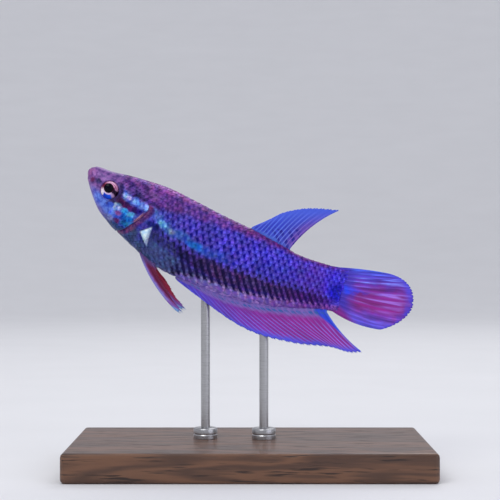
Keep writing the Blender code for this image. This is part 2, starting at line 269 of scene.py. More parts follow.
# %% [markdown]
# ## The body's form
# The solids were drawn over sections of the body. The same table of sections is used again here,
# because a skin needs an exact, smooth surface to be carved and scaled. Each row gives the back
# and belly from the backbone, the half width, the height of the widest line, and how full the
# section is above and below it. The skin lies inside the solids by the depth of the scales.

# %% Body sections
BODY = np.array((
    (0.0, 2.20, 0.18, 1.30, 0.90, 2.3, 2.0),
    (1.0, 2.62, 1.00, 1.75, 0.80, 2.3, 2.0),
    (3.0, 3.22, 2.45, 2.15, 0.60, 2.5, 2.0),
    (4.8, 3.95, 3.60, 2.48, 0.40, 2.5, 2.0),
    (8.5, 5.24, 4.90, 3.15, 0.20, 2.3, 2.1),
    (13.5, 6.32, 6.00, 3.55, 0.10, 2.1, 2.1),
    (18.0, 6.52, 7.00, 3.65, 0.00, 2.0, 2.0),
    (24.0, 6.34, 6.75, 3.45, 0.30, 2.0, 1.7),
    (30.5, 5.92, 6.82, 2.95, 0.40, 2.0, 1.5),
    (36.0, 4.98, 6.30, 2.35, 0.30, 2.0, 1.5),
    (41.0, 3.98, 5.40, 1.75, 0.00, 2.0, 1.6),
    (45.0, 3.60, 4.60, 1.25, -0.50, 2.0, 1.8),
    (47.7, 3.42, 4.35, 0.85, -0.60, 2.0, 2.0),
    (49.5, 3.45, 4.55, 0.14, -0.60, 2.0, 2.0),
))
SNOUT_TIP = -0.55
SNOUT_ROUND = 0.8
LIPS_HEIGHT = 1.05
TAIL_ROOT = 47.7
SKIN_END = 49.0
COAT_DEPTH = ((0.0, 0.0), (5.3, 0.03), (7.0, 0.09), (16.0, 0.13), (49.0, 0.11))  # the scales' room


def sizes_at(station):
    """Back, belly, half width, widest height, crown and keel fullness at stations."""
    return [through(BODY[:, (0, column)], station) for column in range(1, BODY.shape[1])]


def section(station, turn):
    """Heights and sides of the body at stations and at turns round it: 0 is the back."""
    back, belly, width, widest, crown, keel = sizes_at(station)
    depth = through(COAT_DEPTH, station)
    upward, outward = np.cos(turn), np.sin(turn)
    fullness = np.where(upward > 0, crown, keel)
    reach = np.where(upward > 0, back - widest, belly + widest) - depth
    height = widest + reach * np.sign(upward) * np.abs(upward) ** (2 / fullness)
    side = (width - depth) * np.sign(outward) * np.abs(outward) ** (2 / fullness)
    shrink = np.sqrt(np.clip((station - SNOUT_TIP) / SNOUT_ROUND, 0.0, 1.0))
    return LIPS_HEIGHT + (height - LIPS_HEIGHT) * shrink, side * shrink


print("deepest", round(float(max(BODY[:, 1] + BODY[:, 2])), 1), "mm, widest", 2 * max(BODY[:, 3]), "mm")

# %% [markdown]
# ## Carving the head
# A betta's mouth opens upwards, its gill cover is a hard plate with a free rear edge, and its eye
# sits in a ring of skin. These could be separate pieces, but on the animal one skin covers them
# all, so they are carved into the surface: each function says how far the skin moves outwards.

# %% Where things are on the head
EYE = (4.8, 0.35)               # station and height of the eye's middle
EYE_SIDE = 1.75
EYE_OPENING = 1.54
MOUTH_TIP = (-0.55, 1.4)
MOUTH_CORNER = (1.9, -0.4)
NOSTRIL = (2.2, 0.75)
FRONT_NOSTRIL = (1.0, 1.6)
GILL_EDGE = ((-5.4, 8.7), (-4.6, 9.8), (-3.7, 10.6), (-2.6, 11.1), (-1.8, 11.45), (-0.6, 11.9),
             (0.6, 12.3), (1.4, 12.4), (2.0, 12.0), (2.5, 11.0))     # (height, station)
SHOULDER = ((13.25, -2.75), (14.35, -1.45), (14.9, -4.0))       # corners of a breast fin's fleshy root
VENT_STATION = 20.8


def apart(station, height, middle_point, radii=(1.0, 1.0)):
    """How far places are from a middle, where 1 is the edge of an ellipse of those radii."""
    return np.hypot((station - middle_point[0]) / radii[0], (height - middle_point[1]) / radii[1])


def past_gill(station, height):
    """How far places lie behind the gill cover's free edge."""
    return station - through(GILL_EDGE, height)


def outside_shoulder(station, height):
    """How far places lie outside the triangle of the breast fin's root, in millimetres."""
    nearest = np.full(np.shape(station), -9.0)
    for i, (x, y) in enumerate(SHOULDER):
        next_x, next_y = SHOULDER[(i + 1) % 3]
        length = math.hypot(next_x - x, next_y - y)
        off = ((station - x) * (next_y - y) - (height - y) * (next_x - x)) / length
        nearest = np.maximum(nearest, -off)
    return nearest


print("from the eye to the gill cover's edge:", round(-float(past_gill(*EYE)), 2), "mm")


# %% What is carved there
def carve_mouth(station, height):
    """A slit from the snout's tip down to the mouth's corner, with a lip on either side."""
    along_x, along_y = np.subtract(MOUTH_CORNER, MOUTH_TIP)
    length = math.hypot(along_x, along_y)
    dx, dy = station - MOUTH_TIP[0], height - MOUTH_TIP[1]
    along = (dx * along_x + dy * along_y) / length
    off = (dy * along_x - dx * along_y) / length
    open_part = ease(length + 0.15, length - 0.35, along)
    deep = 0.3 + 0.7 * ease(0.1, 1.1, along)
    slit = -0.16 * hump(off, 0.09) * open_part
    lips = (0.03 * hump(off - 0.30, 0.18) + 0.04 * hump(off + 0.32, 0.20)) * open_part
    crease = -0.07 * hump(off - 0.78, 0.13) * ease(0.3, 1.0, along) * ease(length + 0.8, length, along)
    return (slit + lips) * deep + crease


def carve_face(station, height):
    """Nostrils, the brow over the eye, and the ridge in front of the gill cover."""
    nostril = apart(station, height, NOSTRIL, (1.3, 1.0))
    tube = apart(station, height, FRONT_NOSTRIL)
    carved = 0.05 * hump(nostril - 0.26, 0.10) - 0.22 * hump(nostril, 0.17) + 0.10 * hump(tube, 0.15)
    eye = apart(station, height, EYE)
    carved += 0.10 * hump(eye - 2.0, 0.28) * ease(-0.4, 1.2, height - EYE[1])
    carved -= 0.07 * hump(eye - 2.55, 0.25) * ease(0.5, -1.0, height - EYE[1])
    cheek = apart(station, height, (5.4, -0.5), (2.9, 3.1))
    behind_cheek = ease(5.2, 6.6, station) * ease(1.6, 0.6, height)
    return carved + (0.07 * hump(cheek - 0.98, 0.05) - 0.08 * hump(cheek - 1.10, 0.05)) * behind_cheek


def carve_gills(station, height, side):
    """The gill cover's plate and its free edge, and the folds under the throat."""
    past = past_gill(station, height)
    on_side = ease(-5.6, -4.6, height) * ease(2.6, 1.9, height)
    plate = 0.12 * ease(0.04, -0.10, past) * ease(-3.4, -1.2, past)
    groove = -0.20 * hump(past - 0.16, 0.13)
    rim = -0.05 * hump(past + 0.42, 0.10)
    throat = ease(3.5, 5.0, station) * ease(13.0, 11.0, station) * ease(-2.5, -4.0, height)
    folds = -0.05 * (hump(np.abs(side) - 0.55, 0.12) + hump(np.abs(side) - 1.15, 0.12))
    folds -= 0.10 * hump(side, 0.16)
    return (plate + groove + rim) * on_side + folds * throat


def carve_body(station, height, side):
    """The fleshy root of the breast fin, the vent and the sheaths that the long fins rise from."""
    root = outside_shoulder(station, height)
    carved = 0.18 * ease(0.25, -0.35, root) - 0.05 * hump(root - 0.42, 0.15)
    below = ease(-4.5, -6.0, height)
    carved += 0.14 * hump(station - VENT_STATION, 0.5) * hump(side, 0.6) * below
    carved += 0.10 * hump(side, 0.7) * ease(21.0, 23.0, station) * below
    on_back = ease(3.5, 4.5, height) * ease(29.5, 31.0, station) * ease(39.5, 38.5, station)
    return carved + 0.10 * hump(side, 0.6) * on_back


def skin_form(station, turn):
    """The finished skin: its points in metres, and the height and side of each on the fish."""
    height, side = section(station, turn)
    station = np.broadcast_to(station, height.shape)
    flat = place(station, height, side)
    outward = np.cross(np.gradient(flat, axis=0), np.gradient(flat, axis=1))
    outward /= np.maximum(np.linalg.norm(outward, axis=-1, keepdims=True), 1e-12)
    carved = carve_mouth(station, height) + carve_face(station, height)
    carved += carve_gills(station, height, side) + carve_body(station, height, side)
    points = flat + outward * carved[..., None] * MM
    eye = apart(station, height, EYE)
    rim = 0.10 * hump(eye - EYE_OPENING - 0.22, 0.17)
    points[..., 1] += np.sign(side) * rim * MM
    sunk = ease(EYE_OPENING + 0.07, EYE_OPENING - 0.09, eye)[..., None]
    socket = place(station, height, np.sign(side) * 1.2)
    return points * (1 - sunk) + socket * sunk, height, side


# %% [markdown]
# ## Nets of points
# The skin, the fins, the eyes and the rods are all tubes of some kind: rings of points, one behind
# another. One function joins such rings into a mesh. Where a ring has shrunk to a point or a line,
# its doubles are merged, and that closes the end.

# %% Net and mesh tools
def store(mesh, name, values):
    """Keep one number for each point of a mesh."""
    mesh.attributes.new(name, "FLOAT", "POINT").data.foreach_set("value", np.ravel(values))


def build_net(name, points, attributes=None, chart=None):
    """Join rings of points (ring, place in ring, xyz) into a closed mesh. chart gives the place of
    each point on the flat map that colours are baked to, with the first place repeated at its end."""
    rings, around = points.shape[:2]
    ring, spot = np.meshgrid(np.arange(rings - 1), np.arange(around), indexing="ij")
    corner_rings = np.stack([ring, ring + 1, ring + 1, ring], -1).reshape(-1, 4)
    corner_spots = np.stack([spot, spot, spot + 1, spot + 1], -1).reshape(-1, 4)
    mesh = bpy.data.meshes.new(name)
    faces = corner_rings * around + corner_spots % around
    mesh.from_pydata(points.reshape(-1, 3).tolist(), [], faces.tolist())
    for key, values in (attributes or {}).items():
        store(mesh, key, values)
    if chart is not None:
        bake_map = mesh.uv_layers.new(name="OFBake")
        bake_map.uv.foreach_set("vector", chart[corner_rings, corner_spots].ravel())
    net = bmesh.new()
    net.from_mesh(mesh)
    # What has no length goes: first doubled points, then the slivers that they leave.
    bmesh.ops.remove_doubles(net, verts=net.verts, dist=1e-8)
    bmesh.ops.dissolve_degenerate(net, edges=net.edges, dist=1e-7)
    bmesh.ops.recalc_face_normals(net, faces=net.faces)
    net.to_mesh(mesh)
    net.free()
    mesh.shade_smooth()
    return put(name, mesh)


# %% [markdown]
# ## One skin
# The skin is a net of rings round the backbone, close together on the head, where the carving is
# fine, and wider apart under the scales. Each point remembers its station and height, because the
# markings are painted from those. The chart is the skin slit along the belly and unrolled: station
# one way, the distance round from the back the other.

# %% Skin
AROUND = 240
HEAD_RING_GAP = 0.065
TRUNK_RING_GAP = 0.4
HEAD_END = 13.6
CHART_LENGTH = 52.0             # millimetres of fish along the unit square of the chart
CHART_START = 1.5               # and how many of them lie ahead of the snout
FLESH_NODES = ("head", "lower_jaw", "gill_cover_left", "gill_cover_right", "trunk_front",
               "trunk_rear", "tail_stalk")


def ring_stations():
    """Stations of the rings: bunched at the lips, fine over the head, wider behind."""
    lips = SNOUT_TIP + SNOUT_ROUND * (np.arange(14) / 14) ** 2
    head = np.arange(lips[-1] + HEAD_RING_GAP, HEAD_END, HEAD_RING_GAP)
    trunk = np.linspace(HEAD_END, SKIN_END, int((SKIN_END - HEAD_END) / TRUNK_RING_GAP))
    return np.concatenate([lips, head, trunk])


def arcs_round(station, turns):
    """Distance round the body from the back to each turn, less than nothing on the left."""
    height, side = section(station[:, None], turns[None, :])
    steps = np.hypot(np.diff(height, axis=1), np.diff(side, axis=1))
    arcs = np.concatenate([np.zeros((len(station), 1)), np.cumsum(steps, axis=1)], axis=1)
    at_back = np.argmin(np.abs(turns))
    return arcs - arcs[:, at_back:at_back + 1]


def on_chart(station, arc):
    """Where a station and a distance round the body lie on the chart."""
    station, arc = np.broadcast_arrays(station, arc)
    return np.stack([(station + CHART_START) / CHART_LENGTH, 0.5 + arc / CHART_LENGTH], -1)


def make_skin():
    """The skin as one closed net, with the chart's slit along the belly."""
    stations = ring_stations()
    turns = np.linspace(-math.pi, math.pi, AROUND + 1)
    wrapped = np.concatenate([[turns[-2] - math.tau], turns, [turns[1] + math.tau]])
    points, height, _ = skin_form(stations[:, None], wrapped[None, :])
    points, height = points[:, 1:-2], height[:, 1:-2]
    chart = on_chart(stations[:, None], arcs_round(stations, turns))
    tail_end = points[-1].mean(axis=0)
    points = np.concatenate([points, np.broadcast_to(tail_end, (1, AROUND, 3))])
    chart = np.concatenate([chart, chart[-1:] + (0.005, 0.0)])
    height = np.concatenate([height, height[-1:]])
    ring_station = np.broadcast_to(np.append(stations, SKIN_END)[:, None], height.shape)
    return build_net("skin", points, {"station": ring_station, "height": height}, chart)


skin = make_skin()
print("skin:", len(skin.data.polygons), "faces")

# %% [markdown]
# ## The markings
# A betta's colours lie in bands along its body: mauve on the back, violet blue on the flank with a
# paler stripe that starts behind the eye, a dark band, a smoky belly and a pale band above the
# anal fin. A painter would lay them on one after another, from the ground colour up, and this node
# group does the same. Each layer has two shades, one for the root of a scale and one for its
# edge. The skin and the scales both use the group, so that they always match. A few layers are
# painted light and shade: a highlight along the ridge of the back, shade in the nostril, a
# highlight on the gill cover and a glint on the breast fin's root.

# %% A place to paint
FISH_SPAN = 50.0                # millimetres along the fish that a curve or a ramp covers
HEIGHT_SPAN = 20.0              # and from 10 below the backbone to 10 above it
RAGGED = 0.80                   # how far a noise pushes the bands' edges about, in millimetres
RAGGED_SCALE = 1.1 * MM         # the size of its blotches

markings_and_light = bpy.data.node_groups.new("fish_markings", "ShaderNodeTree")
markings_and_light.interface.new_socket("Edge share", in_out="INPUT", socket_type="NodeSocketFloat")
markings_and_light.interface.new_socket("Color", in_out="OUTPUT", socket_type="NodeSocketColor")
where = add(markings_and_light, "ShaderNodeTexCoord").outputs["Object"]
blotches = add(markings_and_light, "ShaderNodeTexNoise", {
    "Vector": where, "Scale": 1 / RAGGED_SCALE, "Detail": 2.0})
push = add(markings_and_light, "ShaderNodeMath", [blotches, -0.5], operation="ADD")
station, height = [add(markings_and_light, "ShaderNodeAttribute", attribute_name=key).outputs["Fac"]
                   for key in ("station", "height")]
ragged_station, ragged_height = [
    add(markings_and_light, "ShaderNodeMath", [push, RAGGED, reading], operation="MULTIPLY_ADD")
    for reading in (station, height)]
ragged_place = add(markings_and_light, "ShaderNodeCombineXYZ", [ragged_station, ragged_height])
along = add(markings_and_light, "ShaderNodeMath", [ragged_station, FISH_SPAN], operation="DIVIDE")
level = add(markings_and_light, "ShaderNodeMath", [ragged_height, 1 / HEIGHT_SPAN, 0.5], operation="MULTIPLY_ADD")


# %% Ways to mark out an area
def side_of_line(position, reading, line, spans, softness):
    """The share of a reading's far side of a line, from 0 before it to 1 beyond it."""
    curve = add(markings_and_light, "ShaderNodeFloatCurve", {"Value": position})
    curve.mapping.extend = "HORIZONTAL"
    set_stops(curve, [(at * spans[0] + spans[1], value * spans[2] + spans[3]) for at, value in line])
    limits = [add(markings_and_light, "ShaderNodeMath", [curve, off * spans[2]], operation="ADD")
              for off in (-softness, softness)]
    return add(markings_and_light, "ShaderNodeMapRange", [reading, *limits], interpolation_type="SMOOTHSTEP")


def below(line, softness=0.35):
    """The share of the lower side of a line of (station, height) points."""
    return side_of_line(along, level, line, (1 / FISH_SPAN, 0.0, 1 / HEIGHT_SPAN, 0.5), -softness)


def behind(line, softness=0.12):
    """The share of the rear side of a line of (height, station) points."""
    return side_of_line(level, along, line, (1 / HEIGHT_SPAN, 0.5, 1 / FISH_SPAN, 0.0), softness)


def overlap(*inside, outside=()):
    """The share of a place that lies inside all of some areas and outside all of others."""
    rests = [add(markings_and_light, "ShaderNodeMath", [1.0, share], operation="SUBTRACT") for share in outside]
    product = inside[0]
    for share in (*inside[1:], *rests):
        product = add(markings_and_light, "ShaderNodeMath", [product, share], operation="MULTIPLY")
    return product


def shifted(line, by):
    """A line moved by so many millimetres."""
    return [(at, value + by) for at, value in line]


def along_band(line, half_width, softness=0.3):
    """The share of a band that runs along a line of (station, height) points."""
    top, foot = [below(shifted(line, by), softness) for by in (half_width, -half_width)]
    return overlap(top, outside=[foot])


def stretch(start, end, softness=0.8):
    """The share of the fish between two stations."""
    limits = ((start - softness, start + softness), (end + softness, end - softness))
    return overlap(*[add(markings_and_light, "ShaderNodeMapRange", [along, none / FISH_SPAN, full / FISH_SPAN])
                     for none, full in limits])


def spot(middle_point, radii, softness=0.3):
    """The share of an oval round a station and height."""
    scaled = (1 / radii[0], 1 / radii[1], 0.0)
    start = (-middle_point[0] / radii[0], -middle_point[1] / radii[1], 0.0)
    offset = add(markings_and_light, "ShaderNodeVectorMath", [ragged_place, scaled, start],
                 operation="MULTIPLY_ADD")
    distance = add(markings_and_light, "ShaderNodeVectorMath", [offset], operation="LENGTH")
    return add(markings_and_light, "ShaderNodeMapRange", [distance, 1 + softness, 1 - softness],
               interpolation_type="SMOOTHSTEP")


# %% Ways to colour it
def shades(*stops):
    """A dark and a light shade that change along the fish, from (station, dark, light) stops."""
    if len(stops) == 1:
        return [paint(code) for code in stops[0][1:]]
    pair = []
    for which in (1, 2):
        ramp = add(markings_and_light, "ShaderNodeValToRGB", {"Fac": along})
        set_stops(ramp, [(stop[0] / FISH_SPAN, paint(stop[which])) for stop in stops])
        pair.append(ramp)
    return pair


def lay(share, *stops):
    """Lay a pair of shades over the coat, as thickly as the share, or each one's share, says."""
    each = share if isinstance(share, tuple) else (share, share)
    coat[:] = [add(markings_and_light, "ShaderNodeMix", [part, low, high], data_type="RGBA")
               for part, low, high in zip(each, coat, shades(*stops))]


# %% Ground colours of the body
BACK_LINE = ((0.0, -3.0), (4.0, -2.6), (6.1, -0.8), (7.0, 1.7), (12.0, 2.0), (15.7, 2.66), (21.0, 3.8),
             (27.0, 4.35), (32.0, 4.5), (36.7, 4.1), (40.7, 3.2), (44.5, 2.9))
BAND_TOP = ((14.0, -1.2), (19.7, -1.4), (22.4, -1.75), (24.9, -1.4), (28.8, -1.75), (32.2, -1.6),
            (36.0, -1.6), (40.7, -1.6), (46.5, -2.0))
BAND_FOOT = ((15.0, -2.7), (18.0, -3.3), (23.0, -4.06), (26.0, -4.44), (31.2, -4.48), (37.3, -4.1),
             (44.1, -3.55))
PALE_LINE = ((19.0, -7.0), (21.6, -6.35), (24.8, -5.45), (31.0, -5.1), (35.6, -4.75), (41.5, -4.0),
             (46.0, -3.7))
RIDGE_LINE = ((8.0, 4.2), (13.5, 5.3), (18.0, 5.6), (24.0, 5.5), (30.5, 5.15), (36.0, 4.35),
              (41.0, 3.35), (45.0, 3.0))

coat = shades((0, "#5c3c80", "#905ca4"), (4, "#482c74", "#80549c"), (9, "#42246a", "#7c4a96"),
              (15, "#3c1c64", "#704094"), (24, "#40227c", "#7c4cac"), (32, "#3a1c70", "#7c48a8"),
              (40, "#2c1880", "#7a50c0"), (47, "#2c1888", "#6850d0"))
# The strip along the top of the back is lighter: partly its own mauve, partly a painted highlight where
# light from above falls on the ridge.
lay(overlap(stretch(-2, 49), outside=[below(RIDGE_LINE, 0.5)]),
    (6, "#4c3278", "#8450a0"), (13, "#74408c", "#a868b8"), (24, "#582c7c", "#9054a8"),
    (31, "#4c1c60", "#80408c"), (46, "#481868", "#783890"))
lay(below(BACK_LINE, 0.6),
    (5, "#3c50a8", "#6c80d8"), (10, "#2c3c98", "#5a6cd0"), (14, "#1c1878", "#5450c0"),
    (20, "#0c0678", "#6658d8"), (30, "#0c0480", "#6456e0"), (39, "#14068c", "#6054e0"),
    (44, "#340c88", "#6c4cd0"), (47.5, "#2410a8", "#5848e4"))
print("ground colours laid:", len(markings_and_light.nodes), "nodes")

# %% Stripe, band and belly
STRIPE_LINE = ((5.5, 1.1), (7.6, 1.15), (10.0, 1.15), (11.9, 1.25), (13.2, 1.35), (15.7, 0.35),
               (17.6, -0.15), (20.3, -0.1), (23.6, -0.7), (27.5, -0.6), (31.0, -1.0))

lay(below(BAND_FOOT, 0.6),
    (12, "#34426e", "#48588a"), (16.5, "#2c386c", "#485c90"), (19.5, "#181c4c", "#5070a8"),
    (22, "#18124c", "#6060ac"), (28, "#180c48", "#6854a8"), (36, "#180a40", "#6c4890"),
    (44, "#2c0c54", "#6c388c"))
above_foot = overlap(stretch(14.5, 47.5), outside=[below(BAND_FOOT, 0.5)])
lay(tuple(overlap(above_foot, below(shifted(BAND_TOP, by), 0.4)) for by in (0.55, -0.35)),
    (14, "#080a38", "#2c3080"), (20, "#0a063c", "#342c88"), (27, "#180c44", "#684890"),
    (36, "#180a44", "#684894"), (42, "#200648", "#5c2c8c"), (47, "#2c0860", "#5c2ca4"))
lay(tuple(below(shifted(PALE_LINE, by), 0.25) for by in (-0.15, 0.35)),
    (18, "#37426e", "#6a78a0"), (22, "#7868c4", "#b8a8f4"), (30, "#7c64c4", "#c09cec"),
    (38, "#7854bc", "#b488e0"), (46, "#6c38a4", "#9c5cc4"))
lay(overlap(along_band(STRIPE_LINE, 0.7, 0.45), stretch(6.4, 29.0, 2.0)),
    (6, "#4468d0", "#8494e4"), (9, "#4058c8", "#7884dc"), (12, "#3450b4", "#6c88d4"),
    (15, "#304ca0", "#5c78cc"), (19, "#2444a4", "#4c74cc"), (24, "#1c3ca4", "#4466c8"),
    (30, "#1c2ca0", "#5254cc"))
print("stripe, band and belly laid:", len(markings_and_light.nodes), "nodes")

# %% Patches on the head
EYE_STRIPE = ((6.2, 0.2), (7.0, -0.1), (9.5, -0.2), (11.3, -0.1), (12.2, 0.1))
UPPER_STRIPE = ((6.4, 2.1), (8.6, 2.0), (9.5, 2.3), (11.4, 2.3), (13.0, 2.5), (15.5, 2.2))
JAW_LINE = ((0.0, -0.6), (2.0, -0.7), (3.2, -0.9), (5.0, -1.0), (6.5, -0.5), (8.0, -1.2), (12.0, -1.6))
THROAT_LINE = ((2.0, -2.0), (4.0, -2.7), (6.0, -3.2), (9.0, -4.0), (13.0, -4.6))
GILL_LEVEL = ((8.0, -1.8), (13.0, -1.8))

lay(spot((0.0, 0.9), (0.7, 0.8), 0.5), (0, "#74408a", "#985898"))
lay(overlap(below(JAW_LINE, 0.5), outside=[behind(GILL_EDGE)]),
    (0, "#8a5a9a", "#b07aac"), (1.8, "#6450a8", "#9078c4"), (3.4, "#3850c0", "#6488e8"),
    (8, "#2e4cb4", "#6080d8"), (11, "#2438a0", "#4a68cc"))
lay(overlap(below(THROAT_LINE, 0.6), stretch(1.0, 13.0, 1.0)),
    (2, "#5a3c9c", "#7e66b4"), (6, "#46409c", "#6a60b0"), (7.5, "#142050", "#2c4680"),
    (12, "#24346c", "#3c5490"))
# Painted shade: a dark spot over the back nostril, where shade falls in its pit.
lay(spot((2.3, 0.5), (0.62, 0.5), 0.5), (0, "#241c50", "#48387c"))
lay(spot((1.2, 0.1), (0.4, 0.4), 0.6), (0, "#5c1c50", "#7c3070"))
lay(overlap(spot((4.9, 0.3), (2.5, 2.4), 0.1), stretch(5.6, 8.0, 0.3)), (0, "#1c1048", "#3c2870"))
lay(spot((8.6, 3.0), (1.8, 0.8), 0.6), (0, "#341c64", "#6c4090"))
lay(overlap(along_band(UPPER_STRIPE, 0.40), stretch(8.0, 14.5)), (0, "#140a44", "#4a2c80"))
lay(overlap(along_band(EYE_STRIPE, 0.55), stretch(6.4, 12.3, 0.3)),
    (6, "#180838", "#341858"), (8, "#300a44", "#601850"), (10, "#30105c", "#4c1c70"),
    (11.4, "#180c74", "#241c94"))
for middle_point, radii, dark, light in (
        ((7.6, 1.2), (0.45, 0.4), "#6c98e4", "#d8ecff"),
        ((8.6, 1.2), (0.42, 0.34), "#8c90d4", "#ccc8f0"),
        ((9.9, 1.2), (0.55, 0.42), "#5480d4", "#88b8f0"),
        ((11.9, 1.3), (0.42, 0.45), "#5c90dc", "#a0d0f4"),
        # The next spot is partly a painted highlight: the lighter cyan at the top of the gill cover's
        # turquoise patch.
        ((9.1, -1.25), (0.7, 0.5), "#1c68c8", "#44b4f0"),
        ((10.3, -1.1), (0.6, 0.4), "#2c70cc", "#60b8f4"),
        ((9.5, -2.1), (0.7, 0.5), "#0c44a0", "#1c78c0"),
        ((10.6, -2.1), (0.7, 0.6), "#0848a8", "#147cc8"),
        ((10.2, -2.9), (0.8, 0.5), "#084888", "#1878a8"),
        ((7.5, -1.2), (0.65, 0.6), "#6898dc", "#b4d4ec"),
        ((6.3, -1.6), (0.5, 0.5), "#1c38b0", "#3c60d0"),
        ((8.2, -2.1), (0.5, 0.4), "#6c3c88", "#9c5ca4"),
        ((8.6, -3.4), (0.6, 0.42), "#581c60", "#903484"),
        ((7.4, -3.6), (0.8, 0.5), "#5c5ca4", "#7c84b8"),
        ((9.4, -4.2), (1.7, 0.6), "#102860", "#28447c"),
        ((15.9, 0.3), (0.9, 0.5), "#3c7cc8", "#88d0f0"),
        ((17.7, -0.2), (0.8, 0.45), "#5c78b4", "#98b8d0"),
        ((22.3, -0.6), (1.5, 0.5), "#1450b8", "#2878d8")):
    lay(spot(middle_point, radii, 0.5), (0, dark, light))

# The strip of skin behind the gill cover, and the cover's own pale rim.
strip_end = [behind(shifted(GILL_EDGE, 1.05), 0.35), spot((13.9, -2.6), (0.9, 1.4))]
lay(overlap(behind(GILL_EDGE), along_band(GILL_LEVEL, 3.9), outside=strip_end),
    (0, "#34185c", "#744074"))
rim_start = behind(shifted(GILL_EDGE, -0.32), 0.2)
lay(overlap(rim_start, along_band(shifted(GILL_LEVEL, 0.9), 1.0, 0.6),
            outside=[behind(shifted(GILL_EDGE, 0.12), 0.06)]),
    (10, "#84507c", "#b4849c"), (12.5, "#8c5070", "#b08894"))
lay(spot((14.6, -0.8), (1.4, 0.6)), (0, "#0a0c50", "#1c2880"))
print("head patches laid:", len(markings_and_light.nodes), "nodes")

# %% The painted glint on the breast fin's root, and the way out
corner_shares = []
for i, (x, y) in enumerate(SHOULDER):
    next_x, next_y = SHOULDER[(i + 1) % 3]
    length = math.hypot(next_x - x, next_y - y)
    reach = add(markings_and_light, "ShaderNodeCombineXYZ", [station, height, 1.0])
    edge = ((next_y - y) / length, (x - next_x) / length, (y * (next_x - x) - x * (next_y - y)) / length)
    off = add(markings_and_light, "ShaderNodeVectorMath", [reach, edge], operation="DOT_PRODUCT")
    corner_shares.append(add(markings_and_light, "ShaderNodeMapRange", [off, -0.28, 0.02]))
lay(spot((13.9, -2.9), (1.05, 1.5), 0.4), (0, "#1c2070", "#44469c"))
# Painted highlight: the breast fin's root is painted near white, a glint of light caught on it.
lay(overlap(*corner_shares), (0, "#b8dcf8", "#f0ffff"))
lay(spot((48.0, -1.0), (1.3, 1.3), 0.5), (0, "#120c98", "#2c28e0"))
edge_share = add(markings_and_light, "NodeGroupInput")
colour = add(markings_and_light, "ShaderNodeMix", [edge_share, *coat], data_type="RGBA")
add(markings_and_light, "NodeGroupOutput", [colour])
print("markings:", len(markings_and_light.nodes), "nodes")

# %% [markdown]
# ## Skin finish
# A fish is wet: a film of slime over the skin gives a sharp gloss over softer colours. The coat of
# the shader is that film. Under it, the skin is mottled by pigment cells, which cluster in spots
# about a third of a millimetre wide, and it is dimpled where they cluster.

# %% Skin material
# Wet fish skin: coloured cells under a clear film, so a soft base and a glossy coat.
PIGMENT_SPOT = 0.65 * MM
PIGMENT_CELL = 0.22 * MM
skin_material, tree, shader = new_material("wet_fish_skin")
where = add(tree, "ShaderNodeTexCoord").outputs["Object"]
cells = add(tree, "ShaderNodeTexNoise", {"Vector": where, "Scale": 1 / PIGMENT_SPOT, "Detail": 3.0})
mottle = add(tree, "ShaderNodeMapRange", [cells, 0.38, 0.62])
fine_cells = add(tree, "ShaderNodeTexNoise", {"Vector": where, "Scale": 1 / PIGMENT_CELL, "Detail": 2.0})
dimples = add(tree, "ShaderNodeBump", {"Height": fine_cells, "Strength": 0.35, "Distance": 0.05 * MM})
wetness = add(tree, "ShaderNodeMapRange", [cells, 0, 1, 0.30, 0.46])
feed(shader, {"Base Color": add(tree, "ShaderNodeGroup", [mottle], node_tree=markings_and_light),
              "Roughness": wetness, "Normal": dimples, "Metallic": 0.15,
              "Specular IOR Level": 0.25, "Coat Weight": 0.08, "Coat Roughness": 0.12})
skin.data.materials.append(skin_material)
print("skin finish:", len(tree.nodes), "nodes")

# %% [markdown]
# ## Scales
# A betta wears about thirty rows of rounded scales, which overlap like tiles: each is rooted in a
# pocket of skin and shows only its rear half. Modelling one after another would take days. Instead
# one scale is made, seats for all of them are worked out on the unrolled skin, and Geometry Nodes
# lay a scale on each seat and roll the sheet up again, so that every scale bends with the body.

# %% One scale
VANE_RINGS = 5
VANE_COLUMNS = 7
VANE_THICKNESS = 0.05


def make_vane():
    """A rounded, domed scale: 1 is a pitch in x, a row in y and a millimetre in z."""
    out = np.linspace(0.0, 1.0, VANE_RINGS)[:, None]
    across = np.linspace(-1.0, 1.0, VANE_COLUMNS)
    across = np.concatenate([across, across[::-1]])[None, :]
    under = np.repeat((0.0, 1.0), VANE_COLUMNS)[None, :]
    rear = 0.80 - 0.55 * np.abs(across) ** 2.4
    x = -1.30 + (rear + 1.30) * out
    y = across * (0.84 + 0.32 * ease(0.0, 0.55, out))
    # Both ends have no thickness at all, so that their faces meet and close the scale.
    thickness = VANE_THICKNESS * np.sin(math.pi * np.clip(out, 0.02, 0.98)) ** 0.4
    thickness = thickness * (out > 0) * (out < 1)
    z = -0.11 + 0.24 * out - 0.04 * across ** 2 - under * thickness
    points = np.stack(np.broadcast_arrays(x, y, z), -1)
    shares = {"vane_along": out, "vane_across": across, "vane_x": x, "vane_y": y}
    return build_net("vane", points, {key: np.broadcast_to(v, x.shape) for key, v in shares.items()})


vane = make_vane()
print("one scale:", len(vane.data.polygons), "faces")

# %% Seats for the scales
SCALE_PITCH = ((5.0, 0.58), (7.0, 0.66), (11.0, 0.88), (16.0, 1.18), (36.0, 1.18), (42.0, 1.05),
               (48.5, 0.88))
ROW_GAP = 0.76                  # rows lie this share of a pitch apart
FIRST_SEAT = 4.8
LAST_SEAT = 49.3
MOST_ROWS = 24
SEAT_STEPS = 900                # how finely the station is divided to find seats,
SEAT_TURNS = 361                # and the way round the body


